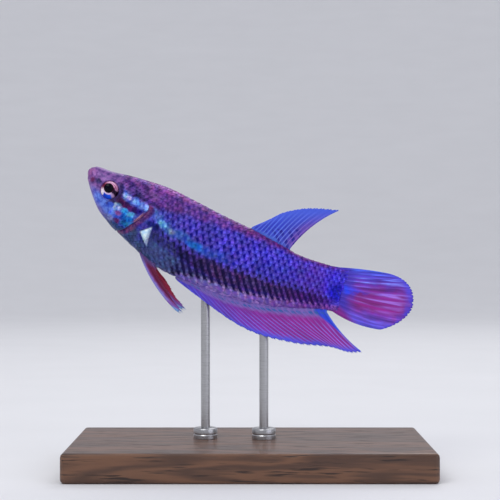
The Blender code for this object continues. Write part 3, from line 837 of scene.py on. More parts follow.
def wears_scale(station, height, arc, half_round, row):
    """Whether a seat is on a part of the fish that carries scales."""
    bare = {
        "line under the belly": abs(arc) > half_round - 0.12,
        "ring round the eye": apart(station, height, EYE) < 2.45,
        "snout and jaw": station < (5.3 if height > 1.6 else 6.9),
        "anal fin's sheath": 21.8 < station < 46.8 and height < through(PALE_LINE, station) - 0.6,
        "ragged end at the tail": station > 48.5 + 0.2 * height + 0.55 * math.sin(2.3 * row + 0.4),
        "throat": station < 11.0 and height < through(((6.0, -3.2), (11.0, -4.6)), station),
        "gill cover's edge": -5.4 < height < 2.5 and -0.75 < past_gill(station, height) < 0.42,
        "breast fin's root": outside_shoulder(station, height) < 0.45,
        "back fin's sheath": row == 0 and 30.0 < station < 39.2}
    return not any(bare.values())


def find_seats():
    """List (station, arc, height, pitch) for every scale."""
    fine = np.linspace(FIRST_SEAT, LAST_SEAT, SEAT_STEPS)
    steps = np.diff(fine) / through(SCALE_PITCH, (fine[1:] + fine[:-1]) / 2)
    count = np.concatenate([[0.0], np.cumsum(steps)])
    turns = np.linspace(-math.pi, math.pi, SEAT_TURNS)
    arcs = arcs_round(fine, turns)
    heights, _ = section(fine[:, None], turns[None, :])
    seats = []
    for row in range(-MOST_ROWS, MOST_ROWS + 1):
        for number in np.arange(0.5 * (row % 2), count[-1], 1.0):
            station = float(np.interp(number, count, fine))
            pitch = float(through(SCALE_PITCH, station))
            i = int(np.searchsorted(fine, station))
            arc = row * ROW_GAP * pitch
            height = float(np.interp(arc, arcs[i], heights[i]))
            if wears_scale(station, height, arc, arcs[i][-1], row):
                seats.append((station, arc, height, pitch))
    return np.array(seats)


seats = find_seats()
print("scales:", len(seats))

# %% The unrolled skin
SHEET_REACH = (2.0, 51.0)       # stations, from ahead of the first scale to past the last one
SHEET_GAP = 0.3
SHEET_TURNS = 361


def make_skin_sheet():
    """The skin again, lapped past the belly line, with its chart as a UV map: a guide only."""
    stations = np.arange(*SHEET_REACH, SHEET_GAP)
    turns = np.linspace(-1.3 * math.pi, 1.3 * math.pi, SHEET_TURNS)
    points, height, _ = skin_form(stations[:, None], turns[None, :])
    chart = on_chart(stations[:, None], arcs_round(stations, turns))
    rows, columns = chart.shape[:2]
    row, column = np.meshgrid(np.arange(rows - 1), np.arange(columns - 1), indexing="ij")
    start = (row * columns + column).ravel()
    faces = np.stack([start, start + columns, start + columns + 1, start + 1], -1)
    mesh = bpy.data.meshes.new("skin_sheet")
    mesh.from_pydata(points.reshape(-1, 3).tolist(), [], faces.tolist())
    store(mesh, "height", height)
    mesh.uv_layers.new(name="unrolled").uv.foreach_set("vector", chart.reshape(-1, 2)[faces].ravel())
    mesh.shade_smooth()
    return put("skin_sheet", mesh)


skin_sheet = make_skin_sheet()
print("guide sheet:", len(skin_sheet.data.polygons), "faces")

# %% [markdown]
# The tree lays the scales flat first. Then it looks up, for every corner of every scale, where
# the same place of the chart lies on the sheet and which way is out, and moves the corner there.
# It also gives each scale its patch on the bake map, about 0.003 across, at its root.

# %% The tree that lays scales
lay_scales = bpy.data.node_groups.new("lay_scales", "GeometryNodeTree")
for name, kind in (("Seats", "Geometry"), ("Scale", "Object"), ("Skin sheet", "Object"),
                   ("Finish", "Material"), ("Turn", "Float"), ("Patch", "Float"), ("Seed", "Int")):
    lay_scales.interface.new_socket(name, in_out="INPUT", socket_type="NodeSocket" + kind)
lay_scales.interface.new_socket("Geometry", in_out="OUTPUT", socket_type="NodeSocketGeometry")
given = add(lay_scales, "NodeGroupInput").outputs
# The numbers that each seat, each corner of a scale and each point of the sheet carries.
carried = {name: add(lay_scales, "GeometryNodeInputNamedAttribute", {"Name": name}, data_type="FLOAT")
           for name in ("pitch", "lift", "station", "arc", "vane_along", "vane_across", "height")}

one_scale = add(lay_scales, "GeometryNodeObjectInfo", {"Object": given["Scale"]}).outputs["Geometry"]
tint = add(lay_scales, "FunctionNodeRandomValue", {"Min": 0.0, "Max": 1.0, "Seed": given["Seed"]},
           data_type="FLOAT")
tinted = add(lay_scales, "GeometryNodeStoreNamedAttribute", {
    "Geometry": given["Seats"], "Name": "tint", "Value": tint}, data_type="FLOAT", domain="POINT")
back_turn = add(lay_scales, "ShaderNodeMath", [given["Turn"], -1.0], operation="MULTIPLY")
other_seed = add(lay_scales, "ShaderNodeMath", [given["Seed"], 7.0], operation="ADD")
turn = add(lay_scales, "FunctionNodeRandomValue", {
    "Min": back_turn, "Max": given["Turn"], "Seed": other_seed}, data_type="FLOAT")
row_size = add(lay_scales, "ShaderNodeMath", [carried["pitch"], ROW_GAP], operation="MULTIPLY")
laid = add(lay_scales, "GeometryNodeInstanceOnPoints", {
    "Points": tinted, "Instance": one_scale,
    "Scale": add(lay_scales, "ShaderNodeCombineXYZ", [carried["pitch"], row_size, carried["lift"]]),
    "Rotation": add(lay_scales, "ShaderNodeCombineXYZ", {"Z": turn})})
flat = add(lay_scales, "GeometryNodeRealizeInstances", {"Geometry": laid})
print("carried by the points:", ", ".join(carried))

# %% The scales' places on the bake map
ONTO_CHART = ((1 / CHART_LENGTH, 1 / CHART_LENGTH, 0.0), (CHART_START / CHART_LENGTH, 0.5, 0.0))
seat_place = add(lay_scales, "ShaderNodeCombineXYZ", [carried["station"], carried["arc"]])
patch_middle = add(lay_scales, "ShaderNodeVectorMath", [seat_place, *ONTO_CHART],
                   operation="MULTIPLY_ADD")
half_across = add(lay_scales, "ShaderNodeMath", [carried["vane_across"], 0.5], operation="MULTIPLY")
in_vane = add(lay_scales, "ShaderNodeCombineXYZ", [carried["vane_along"], half_across])
patch = add(lay_scales, "ShaderNodeVectorMath", [in_vane, given["Patch"]], operation="SCALE")
bake_place = add(lay_scales, "ShaderNodeVectorMath", [patch_middle, patch], operation="ADD")
charted = add(lay_scales, "GeometryNodeStoreNamedAttribute", {
    "Geometry": flat, "Name": "OFBake", "Value": bake_place}, data_type="FLOAT2", domain="CORNER")
print("one millimetre of skin is", round(1 / CHART_LENGTH, 4), "of the chart")

# %% Rolling the sheet up
sheet = add(lay_scales, "GeometryNodeObjectInfo", {"Object": given["Skin sheet"]}).outputs["Geometry"]
unrolled = add(lay_scales, "GeometryNodeInputNamedAttribute", {"Name": "unrolled"},
               data_type="FLOAT_VECTOR")
flat_place = add(lay_scales, "GeometryNodeInputPosition")
along_sheet, _, above_sheet = add(lay_scales, "ShaderNodeSeparateXYZ", [flat_place]).outputs
on_sheet = add(lay_scales, "ShaderNodeVectorMath", [flat_place, *ONTO_CHART], operation="MULTIPLY_ADD")
sheet_place, outward, sheet_height = [
    add(lay_scales, "GeometryNodeSampleUVSurface", {
        "Mesh": sheet, "Value": value, "UV Map": unrolled, "Sample UV": on_sheet}, data_type=kind)
    for value, kind in ((flat_place, "FLOAT_VECTOR"),
                        (add(lay_scales, "GeometryNodeInputNormal"), "FLOAT_VECTOR"),
                        (carried["height"], "FLOAT"))]
known = charted
for name, value in (("station", along_sheet), ("height", sheet_height)):
    known = add(lay_scales, "GeometryNodeStoreNamedAttribute", {
        "Geometry": known, "Name": name, "Value": value}, data_type="FLOAT", domain="POINT")
rise = add(lay_scales, "ShaderNodeMath", [above_sheet, MM], operation="MULTIPLY")
lifted = add(lay_scales, "ShaderNodeVectorMath", [outward, rise], operation="SCALE")
rolled_place = add(lay_scales, "ShaderNodeVectorMath", [sheet_place, lifted], operation="ADD")
rolled = add(lay_scales, "GeometryNodeSetPosition", {"Geometry": known, "Position": rolled_place})
finished = add(lay_scales, "GeometryNodeSetMaterial", {"Geometry": rolled, "Material": given["Finish"]})
add(lay_scales, "NodeGroupOutput", {"Geometry": finished})
print("lay_scales:", len(lay_scales.nodes), "nodes")

# %% [markdown]
# ## Scale finish
# A betta's blue isn't a pigment. Thin crystals in the scale reflect it, as on a beetle, so the
# scales have a metallic glint over dark roots. What shows of each scale is a dark oval where it
# leaves its neighbours' cover, and a lighter rim, and together they read as a net. Both are partly
# painted light: the oval is partly painted shade in the pocket under the neighbour's edge, and the
# rim partly a painted glint along the scale's own edge.

# %% The pattern on a scale
# Iridescent fish scale: a thin horny plate over mirror-like crystals, under the same wet film.
# What shows of it, in pitches: a dark oval at its root and a pale one at its tip, each with its
# middle, half length and half width. The dark oval is partly painted shade under the neighbour's
# edge, and the pale one partly a painted glint on the scale's edge.
DARK_OVAL = (0.17, 0.24, 0.46)
PALE_OVAL = (0.62, 0.34, 0.44)
UNEVENNESS = 0.6 * MM
PIGMENT_PATCH = 0.9 * MM
scale_material, tree, shader = new_material("iridescent_scale")
read = {key: add(tree, "ShaderNodeAttribute", attribute_name=key).outputs["Fac"]
        for key in ("vane_x", "vane_y", "lean", "in_band", "station", "tint")}
where = add(tree, "ShaderNodeTexCoord").outputs["Object"]
slant = add(tree, "ShaderNodeMath", [read["lean"], read["vane_y"]], operation="MULTIPLY")
slanted = add(tree, "ShaderNodeMath", [slant, 0.5, read["vane_x"]], operation="MULTIPLY_ADD")
ahead, to_tip = [add(tree, "ShaderNodeMath", [slanted, 1 / half_length, -middle_x / half_length],
                     operation="MULTIPLY_ADD")
                 for middle_x, half_length, _ in (DARK_OVAL, PALE_OVAL)]
narrow = add(tree, "ShaderNodeMath", [read["in_band"], -0.5 / DARK_OVAL[2], 1 / DARK_OVAL[2]],
             operation="MULTIPLY_ADD")
aside, beside_tip = [add(tree, "ShaderNodeMath", [read["vane_y"], factor], operation="MULTIPLY")
                     for factor in (narrow, 1 / PALE_OVAL[2])]
from_root, from_tip = [
    add(tree, "ShaderNodeVectorMath", [add(tree, "ShaderNodeCombineXYZ", [x, y])], operation="LENGTH")
    for x, y in ((ahead, aside), (to_tip, beside_tip))]
uneven = add(tree, "ShaderNodeTexNoise", {"Vector": where, "Scale": 1 / UNEVENNESS, "Detail": 2.0})
grown = add(tree, "ShaderNodeMath", [read["in_band"], 0.35, -0.25], operation="MULTIPLY_ADD")
grown = add(tree, "ShaderNodeMath", [uneven, 2.6, grown], operation="MULTIPLY_ADD")
tip = add(tree, "ShaderNodeMapRange", [from_tip, 1.5, 0.3, 0.4], interpolation_type="SMOOTHSTEP")
shaped = add(tree, "ShaderNodeMath", [from_root, grown], operation="DIVIDE")
rim = add(tree, "ShaderNodeMapRange", [shaped, 0.4, 1.5], interpolation_type="SMOOTHSTEP")
rim = add(tree, "ShaderNodeMath", [rim, tip], operation="MULTIPLY")
cells = add(tree, "ShaderNodeTexNoise", {"Vector": where, "Scale": 1 / PIGMENT_PATCH, "Detail": 3.0})
mottle = add(tree, "ShaderNodeMapRange", [cells, 0.38, 0.62])
on_head = add(tree, "ShaderNodeMapRange", [read["station"], 14.5, 11.5])
rim = add(tree, "ShaderNodeMix", [on_head, rim, mottle], data_type="FLOAT")
painted = add(tree, "ShaderNodeGroup", [rim], node_tree=markings_and_light)
print("pattern on a scale:", len(tree.nodes), "nodes")

# %% Scale colour and gloss
BRIGHT_PATCH = 2.0 * MM
HUE_PATCH = 1.1 * MM
GROWTH_RINGS = 22.0             # radians of wave for each half length of the dark oval
patches = add(tree, "ShaderNodeTexNoise", {"Vector": where, "Scale": 1 / BRIGHT_PATCH, "Detail": 2.0})
varied_tint = add(tree, "ShaderNodeMath", [read["tint"], 0.5, patches], operation="MULTIPLY_ADD")
brightness = add(tree, "ShaderNodeMapRange", [varied_tint, 0.4, 1.1, 0.72, 1.28])
varied = add(tree, "ShaderNodeVectorMath", [painted, brightness], operation="SCALE")
hues = add(tree, "ShaderNodeTexNoise", {"Vector": where, "Scale": 1 / HUE_PATCH, "Detail": 1.0})
hues = add(tree, "ShaderNodeVectorMath", [hues.outputs["Color"], (1.2, 1.1, 0.6), (0.4, 0.44, 0.72)],
           operation="MULTIPLY_ADD")
waves = add(tree, "ShaderNodeMath", [from_root, GROWTH_RINGS], operation="MULTIPLY")
waves = add(tree, "ShaderNodeMath", [waves], operation="SINE")
feed(shader, {
    "Base Color": add(tree, "ShaderNodeVectorMath", [varied, hues], operation="MULTIPLY"),
    "Roughness": add(tree, "ShaderNodeMapRange", [read["tint"], 0, 1, 0.5, 0.38]),
    "Normal": add(tree, "ShaderNodeBump", {"Height": waves, "Strength": 0.12, "Distance": 0.02 * MM}),
    "Metallic": 0.3, "Specular IOR Level": 0.12, "Coat Weight": 0.03, "Coat Roughness": 0.15})
print("scale finish:", len(tree.nodes), "nodes")

# %% Lay the scales
MOST_TURN = math.radians(3.0)
PATCH = 0.003
LIFT = 1 / 1.12                 # a scale's height for each millimetre of its pitch


def lay_side(name, chosen, seed):
    """Run the tree on some of the seats, and keep the result as a plain mesh."""
    mesh = bpy.data.meshes.new(name + "_seats")
    spots = np.concatenate([chosen[:, :2], np.zeros((len(chosen), 1))], axis=1)
    mesh.from_pydata(spots.tolist(), [], [])
    station, arc, height, pitch = chosen.T
    under_top = ease(0.3, -0.3, height - through(BAND_TOP, station))
    in_band = under_top * ease(18.0, 21.5, station) * ease(48.0, 45.0, station)
    lean = (0.3 + 0.5 * in_band) * np.where(arc > 0, -1.0, 1.0)
    for key, values in (("station", station), ("arc", arc), ("height", height), ("pitch", pitch),
                        ("lift", pitch * LIFT), ("in_band", in_band), ("lean", lean)):
        store(mesh, key, values)
    holder = put(name + "_holder", mesh)
    modifier = holder.modifiers.new("lay_scales", "NODES")
    modifier.node_group = lay_scales
    wanted = {"Scale": vane, "Skin sheet": skin_sheet, "Finish": scale_material,
              "Turn": MOST_TURN, "Patch": PATCH, "Seed": seed}
    for item in lay_scales.interface.items_tree:
        if item.name in wanted:
            modifier[item.identifier] = wanted[item.name]
    evaluated = holder.evaluated_get(bpy.context.evaluated_depsgraph_get())
    result = bpy.data.meshes.new_from_object(evaluated)
    holder.modifiers.clear()
    bpy.data.objects.remove(holder)
    result.name = name
    result.shade_smooth()
    print(name + ":", len(chosen), "scales of", len(result.polygons) // len(chosen), "faces")
    return put(name, result)


scales = [lay_side("scales_left", seats[seats[:, 1] <= 0], 3),
          lay_side("scales_right", seats[seats[:, 1] > 0], 4)]
for guide in (skin_sheet, vane):
    bpy.data.objects.remove(guide)

# %% [markdown]
# ## Fins
# A fin is a fan of bony rays with a thin skin stretched over them. The rays fork on their way out,
# and the skin draws in a little between their tips. Each fin is one closed blade here: two faces
# that stand apart by the thickness of the membrane, and further where a ray runs. Its root is sunk
# in the body, and its outline keeps close to the solid's.

# %% Fin tools
FIN_COLUMNS = 9                 # columns of points for each ray
FIN_RINGS = 34
MEMBRANE = (0.26, 0.07)         # thickness at the root and at the edge
RAY_RIDGE = (0.22, 0.07)        # how much a ray adds to it, at the root and at the edge
RAY_WIDTH = 0.17                # of the space between two rays


def between(ends, share):
    """The value that lies a share of the way from the first end to the last."""
    return ends[0] + (ends[1] - ends[0]) * share


def edge_line(table):
    """A fin's edge as a function of the share of the way from its first ray to its last."""
    table = np.array(table)
    return lambda u: np.stack([through(table[:, (0, 1)], u), through(table[:, (0, 2)], u)])


def ray_share(u, v, rays, forks):
    """1 on the middle of a ray and 0 between rays. Each fork has a start and a spread."""
    off = np.abs((u * rays) % 1.0 - 0.5)
    for start, spread in forks:
        off = np.abs(off - spread * ease(start, 1.15, v))
    return hump(off, RAY_WIDTH * (1 - 0.35 * v))


def make_fin(name, base, edge, bow, side, rays, forks=(), notch=0.03, sink=(0.0, 0.0, 0.0)):
    """A closed blade whose rays run from base(u) to edge(u), each bowed between its ends. sink is
    how far its root goes on into the body, in station, height and side."""
    u = np.linspace(0.0, 1.0, rays * FIN_COLUMNS + 1)
    u = np.concatenate([u, u[::-1]])[None, :]
    face = np.repeat((-0.5, 0.5), rays * FIN_COLUMNS + 1)[None, :]
    root, tip = base(u), edge(u)
    chord = tip - root
    length = np.hypot(*chord)
    out = np.linspace(0.0, 1.0, FIN_RINGS) ** 0.9
    sunk = np.concatenate([[1.0, 0.5], 0.0 * out])[:, None]
    out = np.concatenate([[0.0, 0.0], out])[:, None]
    v = out * (1 - notch * (1 - ray_share(u, 1.0, rays, forks)))
    push = bow(u) * 4 * v * (1 - v)
    station = root[0] + chord[0] * v - chord[1] / length * push + sink[0] * sunk
    height = root[1] + chord[1] * v + chord[0] / length * push + sink[1] * sunk
    ray = ray_share(u, v, rays, forks)
    thickness = between(MEMBRANE, v ** 0.6) + between(RAY_RIDGE, v) * ray
    thickness = thickness * (sunk < 1) * (out < 1)      # none at either end, which closes the blade
    points = place(station, height, side(u, v) + sink[2] * sunk + face * thickness)
    shares = {"across": np.broadcast_to(u, v.shape), "out": v, "ray": ray}
    return build_net(name, points, shares)


# %% Back fin and tail fin
GAP = 0.3                       # how far a fin's base stands off the body's line
DORSAL_BASE = (30.5, 38.5)
DORSAL_EDGE = ((0, 31.0, 6.7), (0.15, 33.3, 8.7), (0.3, 35.1, 10.3), (0.5, 38.3, 11.9),
               (0.75, 42.0, 12.85), (1, 46.2, 13.3))
DORSAL_BOW = 0.95
TAIL_FAN = (54.0, -1.45)
TAIL_FAN_LENGTH = 7.7
TAIL_FAN_HALF_DEPTH = 5.2
TAIL_FAN_TILT = math.radians(6.0)
TAIL_FAN_FULLNESS = (2.6, 1.8)  # how square the upper and the lower half are
TAIL_FAN_ANGLES = (math.radians(72.0), math.radians(-70.0))
TAIL_BOW = (0.15, -0.55)        # at the first ray and at the last


def base_along(stations, hand, gap):
    """A base between two stations along the back (hand 1) or the belly (-1), a gap off it."""
    def base(u):
        station = between(stations, u)
        return np.stack([station, hand * (sizes_at(station)[0 if hand > 0 else 1] + gap)])
    return base


def tail_base(u):
    back, belly = sizes_at(TAIL_ROOT)[:2]
    return np.stack([np.full(u.shape, TAIL_ROOT + GAP), back - (back + belly) * u])


def tail_edge(u):
    """An oval fan, tilted, and fuller above than below."""
    angle = between(TAIL_FAN_ANGLES, u)
    power = 2 / np.where(angle > 0, *TAIL_FAN_FULLNESS)
    forward = TAIL_FAN_LENGTH * np.cos(angle) ** power
    upward = TAIL_FAN_HALF_DEPTH * np.sign(angle) * np.abs(np.sin(angle)) ** power
    lean, flat = math.sin(TAIL_FAN_TILT), math.cos(TAIL_FAN_TILT)
    return np.stack([TAIL_FAN[0] + forward * flat - upward * lean,
                     TAIL_FAN[1] + forward * lean + upward * flat])


dorsal_fin = make_fin(
    "dorsal_fin_blade", base_along(DORSAL_BASE, 1, GAP), edge_line(DORSAL_EDGE),
    lambda u: DORSAL_BOW * u ** 2, lambda u, v: 0.18 * np.sin(5.0 * u + 2.0) * v ** 2,
    rays=12, forks=((0.45, 0.22),), sink=(0.0, -0.7, 0.0))
tail_fin = make_fin(
    "tail_fin_blade", tail_base, tail_edge, lambda u: between(TAIL_BOW, u),
    lambda u, v: 0.25 * np.sin(9.0 * u + 0.6) * v ** 2,
    rays=12, forks=((0.22, 0.26), (0.60, 0.12)), sink=(-1.2, 0.0, 0.0))
print("back fin:", len(dorsal_fin.data.polygons), "faces; tail fin:", len(tail_fin.data.polygons))

# %% Anal, belly and breast fins
ANAL_BASE = (21.6, 47.2)
ANAL_EDGE = ((0, 22.2, -7.5), (0.08, 26.6, -8.7), (0.2, 33.5, -10.7), (0.45, 42.5, -11.25),
             (0.7, 49.0, -10.65), (0.9, 52.8, -10.95), (1, 54.6, -10.5))
ANAL_BOW = 0.5
PELVIC_BASE = (14.5, 17.8)
PELVIC_DEPTH = 0.15             # how far its base lies inside the belly's line
PELVIC_EDGE = ((0, 24.6, -12.5), (0.3, 25.0, -11.9), (0.55, 22.8, -10.7), (0.8, 21.1, -9.4),
               (1, 19.7, -8.5))
PELVIC_BOW = -0.6
PELVIC_SIDE = 1.0
PELVIC_SPLAY = 1.2
PELVIC_LAG = 0.45               # the right fin trails the left one by this much
PECTORAL_BASE = ((14.1, -1.6), (14.5, -4.0))
PECTORAL_LENGTH = 7.2
PECTORAL_ANGLES = (math.radians(0.0), math.radians(-42.0))
PECTORAL_ROUNDING = 0.35
PECTORAL_SIDES = (3.45, 6.4)    # of its root and its tip


def pectoral_base(u):
    return np.stack([between(ends, u) for ends in zip(*PECTORAL_BASE)])


def pectoral_edge(u):
    """A rounded fan."""
    angle = between(PECTORAL_ANGLES, u)
    reach = PECTORAL_LENGTH * (1 - PECTORAL_ROUNDING * (2 * u - 1) ** 2)
    return pectoral_base(u) + np.stack([reach * np.cos(angle), reach * np.sin(angle)])


anal_fin = make_fin(
    "anal_fin_blade", base_along(ANAL_BASE, -1, GAP), edge_line(ANAL_EDGE), lambda u: -ANAL_BOW * u ** 4,
    lambda u, v: 0.22 * np.sin(14.0 * u) * v ** 2,
    rays=26, forks=((0.55, 0.2),), notch=0.05, sink=(0.0, 0.7, 0.0))
pelvic_fins, pectoral_fins = [], []
for hand, word, lag in ((-1, "left", 0.0), (1, "right", PELVIC_LAG)):
    line = edge_line(PELVIC_EDGE)
    pelvic_fins.append(make_fin(
        "pelvic_fin_blade_" + word, base_along(PELVIC_BASE, -1, -PELVIC_DEPTH),
        lambda u: line(u) + np.array((0.4 * lag, lag))[:, None, None],
        lambda u: PELVIC_BOW * (1 - 0.8 * u), lambda u, v: hand * (PELVIC_SIDE + PELVIC_SPLAY * v),
        rays=6, forks=((0.5, 0.2),), notch=0.06, sink=(0.0, 1.3, 0.0)))
    pectoral_fins.append(make_fin(
        "pectoral_fin_blade_" + word, pectoral_base, pectoral_edge, lambda u: 0.0 * u,
        lambda u, v: hand * between(PECTORAL_SIDES, v),
        rays=11, forks=((0.4, 0.24),), sink=(0.0, 0.0, -0.6 * hand)))
print("anal fin:", len(anal_fin.data.polygons), "faces; a belly fin:", len(pelvic_fins[0].data.polygons))

# %% [markdown]
# ## Fin finish
# Where the body's colours run along it, a fin's run with its rays: the membrane has one colour and
# the rays another, both change from the first ray to the last, and bands cross them near the root
# and along the edge. So the pattern follows three numbers that each point of a blade carries: how
# far across the fan it lies, how far out, and how near a ray.

# %% What a fin's colours follow
FIN_CLOUD = 1.3 * MM
FIN_WRINKLE = 0.35 * MM
CLOUD_PUSH = 0.22               # how far the cloud pushes the colours' edges, as a share of the fin
# Bands that run aslant: the share across plus this much of the share out.
SLANTS = {"rear root": -0.15, "low root": -0.45, "front tip": -2.2}
MIDDLE_RAY = 0.46               # the share across of a patch at the root,
MIDDLE_NARROWING = 3.6          # and how much shorter the patch is away from there


def read_blade(tree, cloud, wanted):
    """The numbers that a blade carries, their ragged versions, and such mixtures as are wanted."""
    read = {key: add(tree, "ShaderNodeAttribute", attribute_name=key).outputs["Fac"]
            for key in ("across", "out", "ray")}
    push = add(tree, "ShaderNodeMath", [cloud, CLOUD_PUSH, -CLOUD_PUSH / 2], operation="MULTIPLY_ADD")
    for key in ("across", "out"):
        read[key + " ragged"] = add(tree, "ShaderNodeMath", [read[key], push], operation="ADD")
    for key, slope in SLANTS.items():
        if key in wanted:
            read[key] = add(tree, "ShaderNodeMath", [read["out"], slope, read["across"]],
                            operation="MULTIPLY_ADD")
    if "middle root" in wanted:
        off = add(tree, "ShaderNodeMath", [read["across ragged"], -MIDDLE_RAY], operation="ADD")
        off = add(tree, "ShaderNodeMath", [off], operation="ABSOLUTE")
        read["middle root"] = add(tree, "ShaderNodeMath", [off, MIDDLE_NARROWING, read["out ragged"]],
                                  operation="MULTIPLY_ADD")
    return read


def share_of_dashes(tree, read, cloud, waves_along, waves_across, none, full, reach):
    """The share of short dashes in the gaps between rays, near the fin's root."""
    turns = add(tree, "ShaderNodeMath", [read["out"], waves_along * math.tau], operation="MULTIPLY")
    turns = add(tree, "ShaderNodeMath", [read["across"], waves_across * math.tau, turns],
                operation="MULTIPLY_ADD")
    wave = add(tree, "ShaderNodeMath", [turns], operation="SINE")
    product = add(tree, "ShaderNodeMapRange", [wave, -0.2, 0.4])
    for reading, start, end in ((read["ray"], 0.75, 0.25), (cloud, 0.38, 0.55),
                                (read["across ragged"], none, full),
                                (read["out"], reach + 0.03, reach - 0.03)):
        share = add(tree, "ShaderNodeMapRange", [reading, start, end])
        product = add(tree, "ShaderNodeMath", [product, share], operation="MULTIPLY")
    return product


# %% Fin material
def fin_material(name, membrane, rays, layers, dashes=None, rays_from=0.0, missing=0.0,
                 streaky=(0.85, 1.15), streaks_across=34.0, roughness=0.45, clear=False):
    """Wet fin membrane: a thin film of skin under slime, so softly glossy and faintly wrinkled.

    membrane, rays   ramps of (share across, colour) stops
    layers           (reading, none, full, colour), laid one after another
    dashes           a colour and what share_of_dashes takes
    rays_from        how far out the rays begin to show
    missing          how many of them don't show, from 0 to 1
    streaky          the range of the streaks' shades, and streaks_across is how close they lie
    clear            a film that only its rays and its root make visible
    """
    material, tree, shader = new_material(name)
    where = add(tree, "ShaderNodeTexCoord").outputs["Object"]
    cloud = add(tree, "ShaderNodeTexNoise", {"Vector": where, "Scale": 1 / FIN_CLOUD, "Detail": 3.0})
    read = read_blade(tree, cloud, {layer[0] for layer in layers})
    lengthwise = add(tree, "ShaderNodeCombineXYZ", [read["across"], read["out"]])
    lengthwise = add(tree, "ShaderNodeVectorMath", [lengthwise, (streaks_across, 2.2, 0.0)],
                     operation="MULTIPLY")
    streaks = add(tree, "ShaderNodeTexNoise", {"Vector": lengthwise, "Scale": 1.0, "Detail": 2.0})
    kept = add(tree, "ShaderNodeMapRange", [streaks, missing - 0.05, missing + 0.15])
    begun = add(tree, "ShaderNodeMapRange", [read["out ragged"], rays_from - 0.2, rays_from + 0.05])
    ray = add(tree, "ShaderNodeMath", [begun, read["ray"]], operation="MULTIPLY")
    ray = add(tree, "ShaderNodeMath", [ray, kept], operation="MULTIPLY")
    ramps = [add(tree, "ShaderNodeValToRGB", {"Fac": read["across ragged"]}) for _ in range(2)]
    for ramp, stops in zip(ramps, (membrane, rays)):
        set_stops(ramp, [(share, paint(code)) for share, code in stops])
    colour = add(tree, "ShaderNodeMix", [ray, *ramps], data_type="RGBA")
    shade = add(tree, "ShaderNodeMapRange", [streaks, 0.3, 0.7, *streaky])
    colour = add(tree, "ShaderNodeVectorMath", [colour, shade], operation="SCALE")
    laid = [(add(tree, "ShaderNodeMapRange", [read[reading], none, full],
                 interpolation_type="SMOOTHSTEP"), code) for reading, none, full, code in layers]
    if dashes:
        laid.append((share_of_dashes(tree, read, cloud, *dashes[1:]), dashes[0]))
    for share, code in laid:
        colour = add(tree, "ShaderNodeMix", [share, colour, paint(code)], data_type="RGBA")
    wrinkles = add(tree, "ShaderNodeTexNoise", {
        "Vector": where, "Scale": 1 / FIN_WRINKLE, "Detail": 2.0})
    dull = add(tree, "ShaderNodeMapRange", [wrinkles, 0, 1, roughness - 0.07, roughness + 0.07])
    bump = add(tree, "ShaderNodeBump", {"Height": wrinkles, "Strength": 0.25, "Distance": 0.04 * MM})
    feed(shader, {"Base Color": colour, "Roughness": dull, "Normal": bump,
                  "Specular IOR Level": 0.3, "Coat Weight": 0.06, "Coat Roughness": 0.2})
    if clear:
        veil = add(tree, "ShaderNodeMapRange", [read["ray"], 0, 1, 0.03, 0.12])
        rooted = add(tree, "ShaderNodeMapRange", [read["out"], 0.0, 0.12, 0.4, 0.0])
        feed(shader, {"Alpha": add(tree, "ShaderNodeMath", [veil, rooted], operation="ADD")})
    return material


# %% Fin colours
# Betta fin membranes: a film of skin, violet blue where crystals lie over its red pigment.
finishes = [(dorsal_fin, fin_material(
    "blue_fin_membrane",
    ((0.0, "#2834b4"), (0.4, "#2c3cc0"), (0.75, "#3038b4"), (0.86, "#4c38a8"), (1.0, "#6440a4")),
    ((0.0, "#4460d4"), (0.5, "#5c7ce8"), (0.8, "#6c74dc"), (0.9, "#7854bc"), (1.0, "#7c54b4")),
    (("out ragged", 0.08, -0.05, "#4868d0"), ("out ragged", 0.3, 1.0, "#445cd8")),
    dashes=("#14148c", 7, 4.6, 0.2, 0.55, 0.36)))]
finishes.append((tail_fin, fin_material(
    "violet_fin_membrane",
    ((0.0, "#3c58dc"), (0.07, "#4848d0"), (0.2, "#5438c0"), (0.34, "#6428a4"), (0.46, "#7c1c88"),
     (0.68, "#841880"), (0.79, "#6c34b0"), (1.0, "#5450d8")),
    # The rays' bright lavender a quarter of the way across the fan is partly a painted highlight on
    # them.
    ((0.0, "#4070f4"), (0.14, "#5860e0"), (0.26, "#7c90f8"), (0.36, "#7858d4"), (0.5, "#9468d0"),
     (0.75, "#9048b8"), (0.88, "#6c5cdc"), (1.0, "#6460e0")),
    (("out ragged", 0.34, 0.10, "#3c2cb0"), ("low root", 0.72, 0.86, "#7c1c88"),
     ("middle root", 0.60, 0.05, "#2440f0"), ("out ragged", 0.86, 1.02, "#4840d4")),
    missing=0.47, streaky=(0.62, 1.4), streaks_across=19.0)))
finishes.append((anal_fin, fin_material(
    "magenta_fin_membrane",
    ((0.0, "#4440d0"), (0.1, "#5438c0"), (0.25, "#6c2ca8"), (0.5, "#8a2098"), (0.8, "#921c90"),
     (1.0, "#8c2098")),
    ((0.0, "#5458e0"), (0.3, "#7464d8"), (1.0, "#8c74e0")),
    (("out ragged", 0.72, 0.97, "#4a50dc"), ("out ragged", 0.22, 0.06, "#7c60b4"),
     ("rear root", 0.905, 0.93, "#2440d4"), ("across", 0.985, 0.999, "#5870dc")),
    dashes=("#3058a4", 3, 0, -0.2, 0.0, 0.075), rays_from=0.35)))
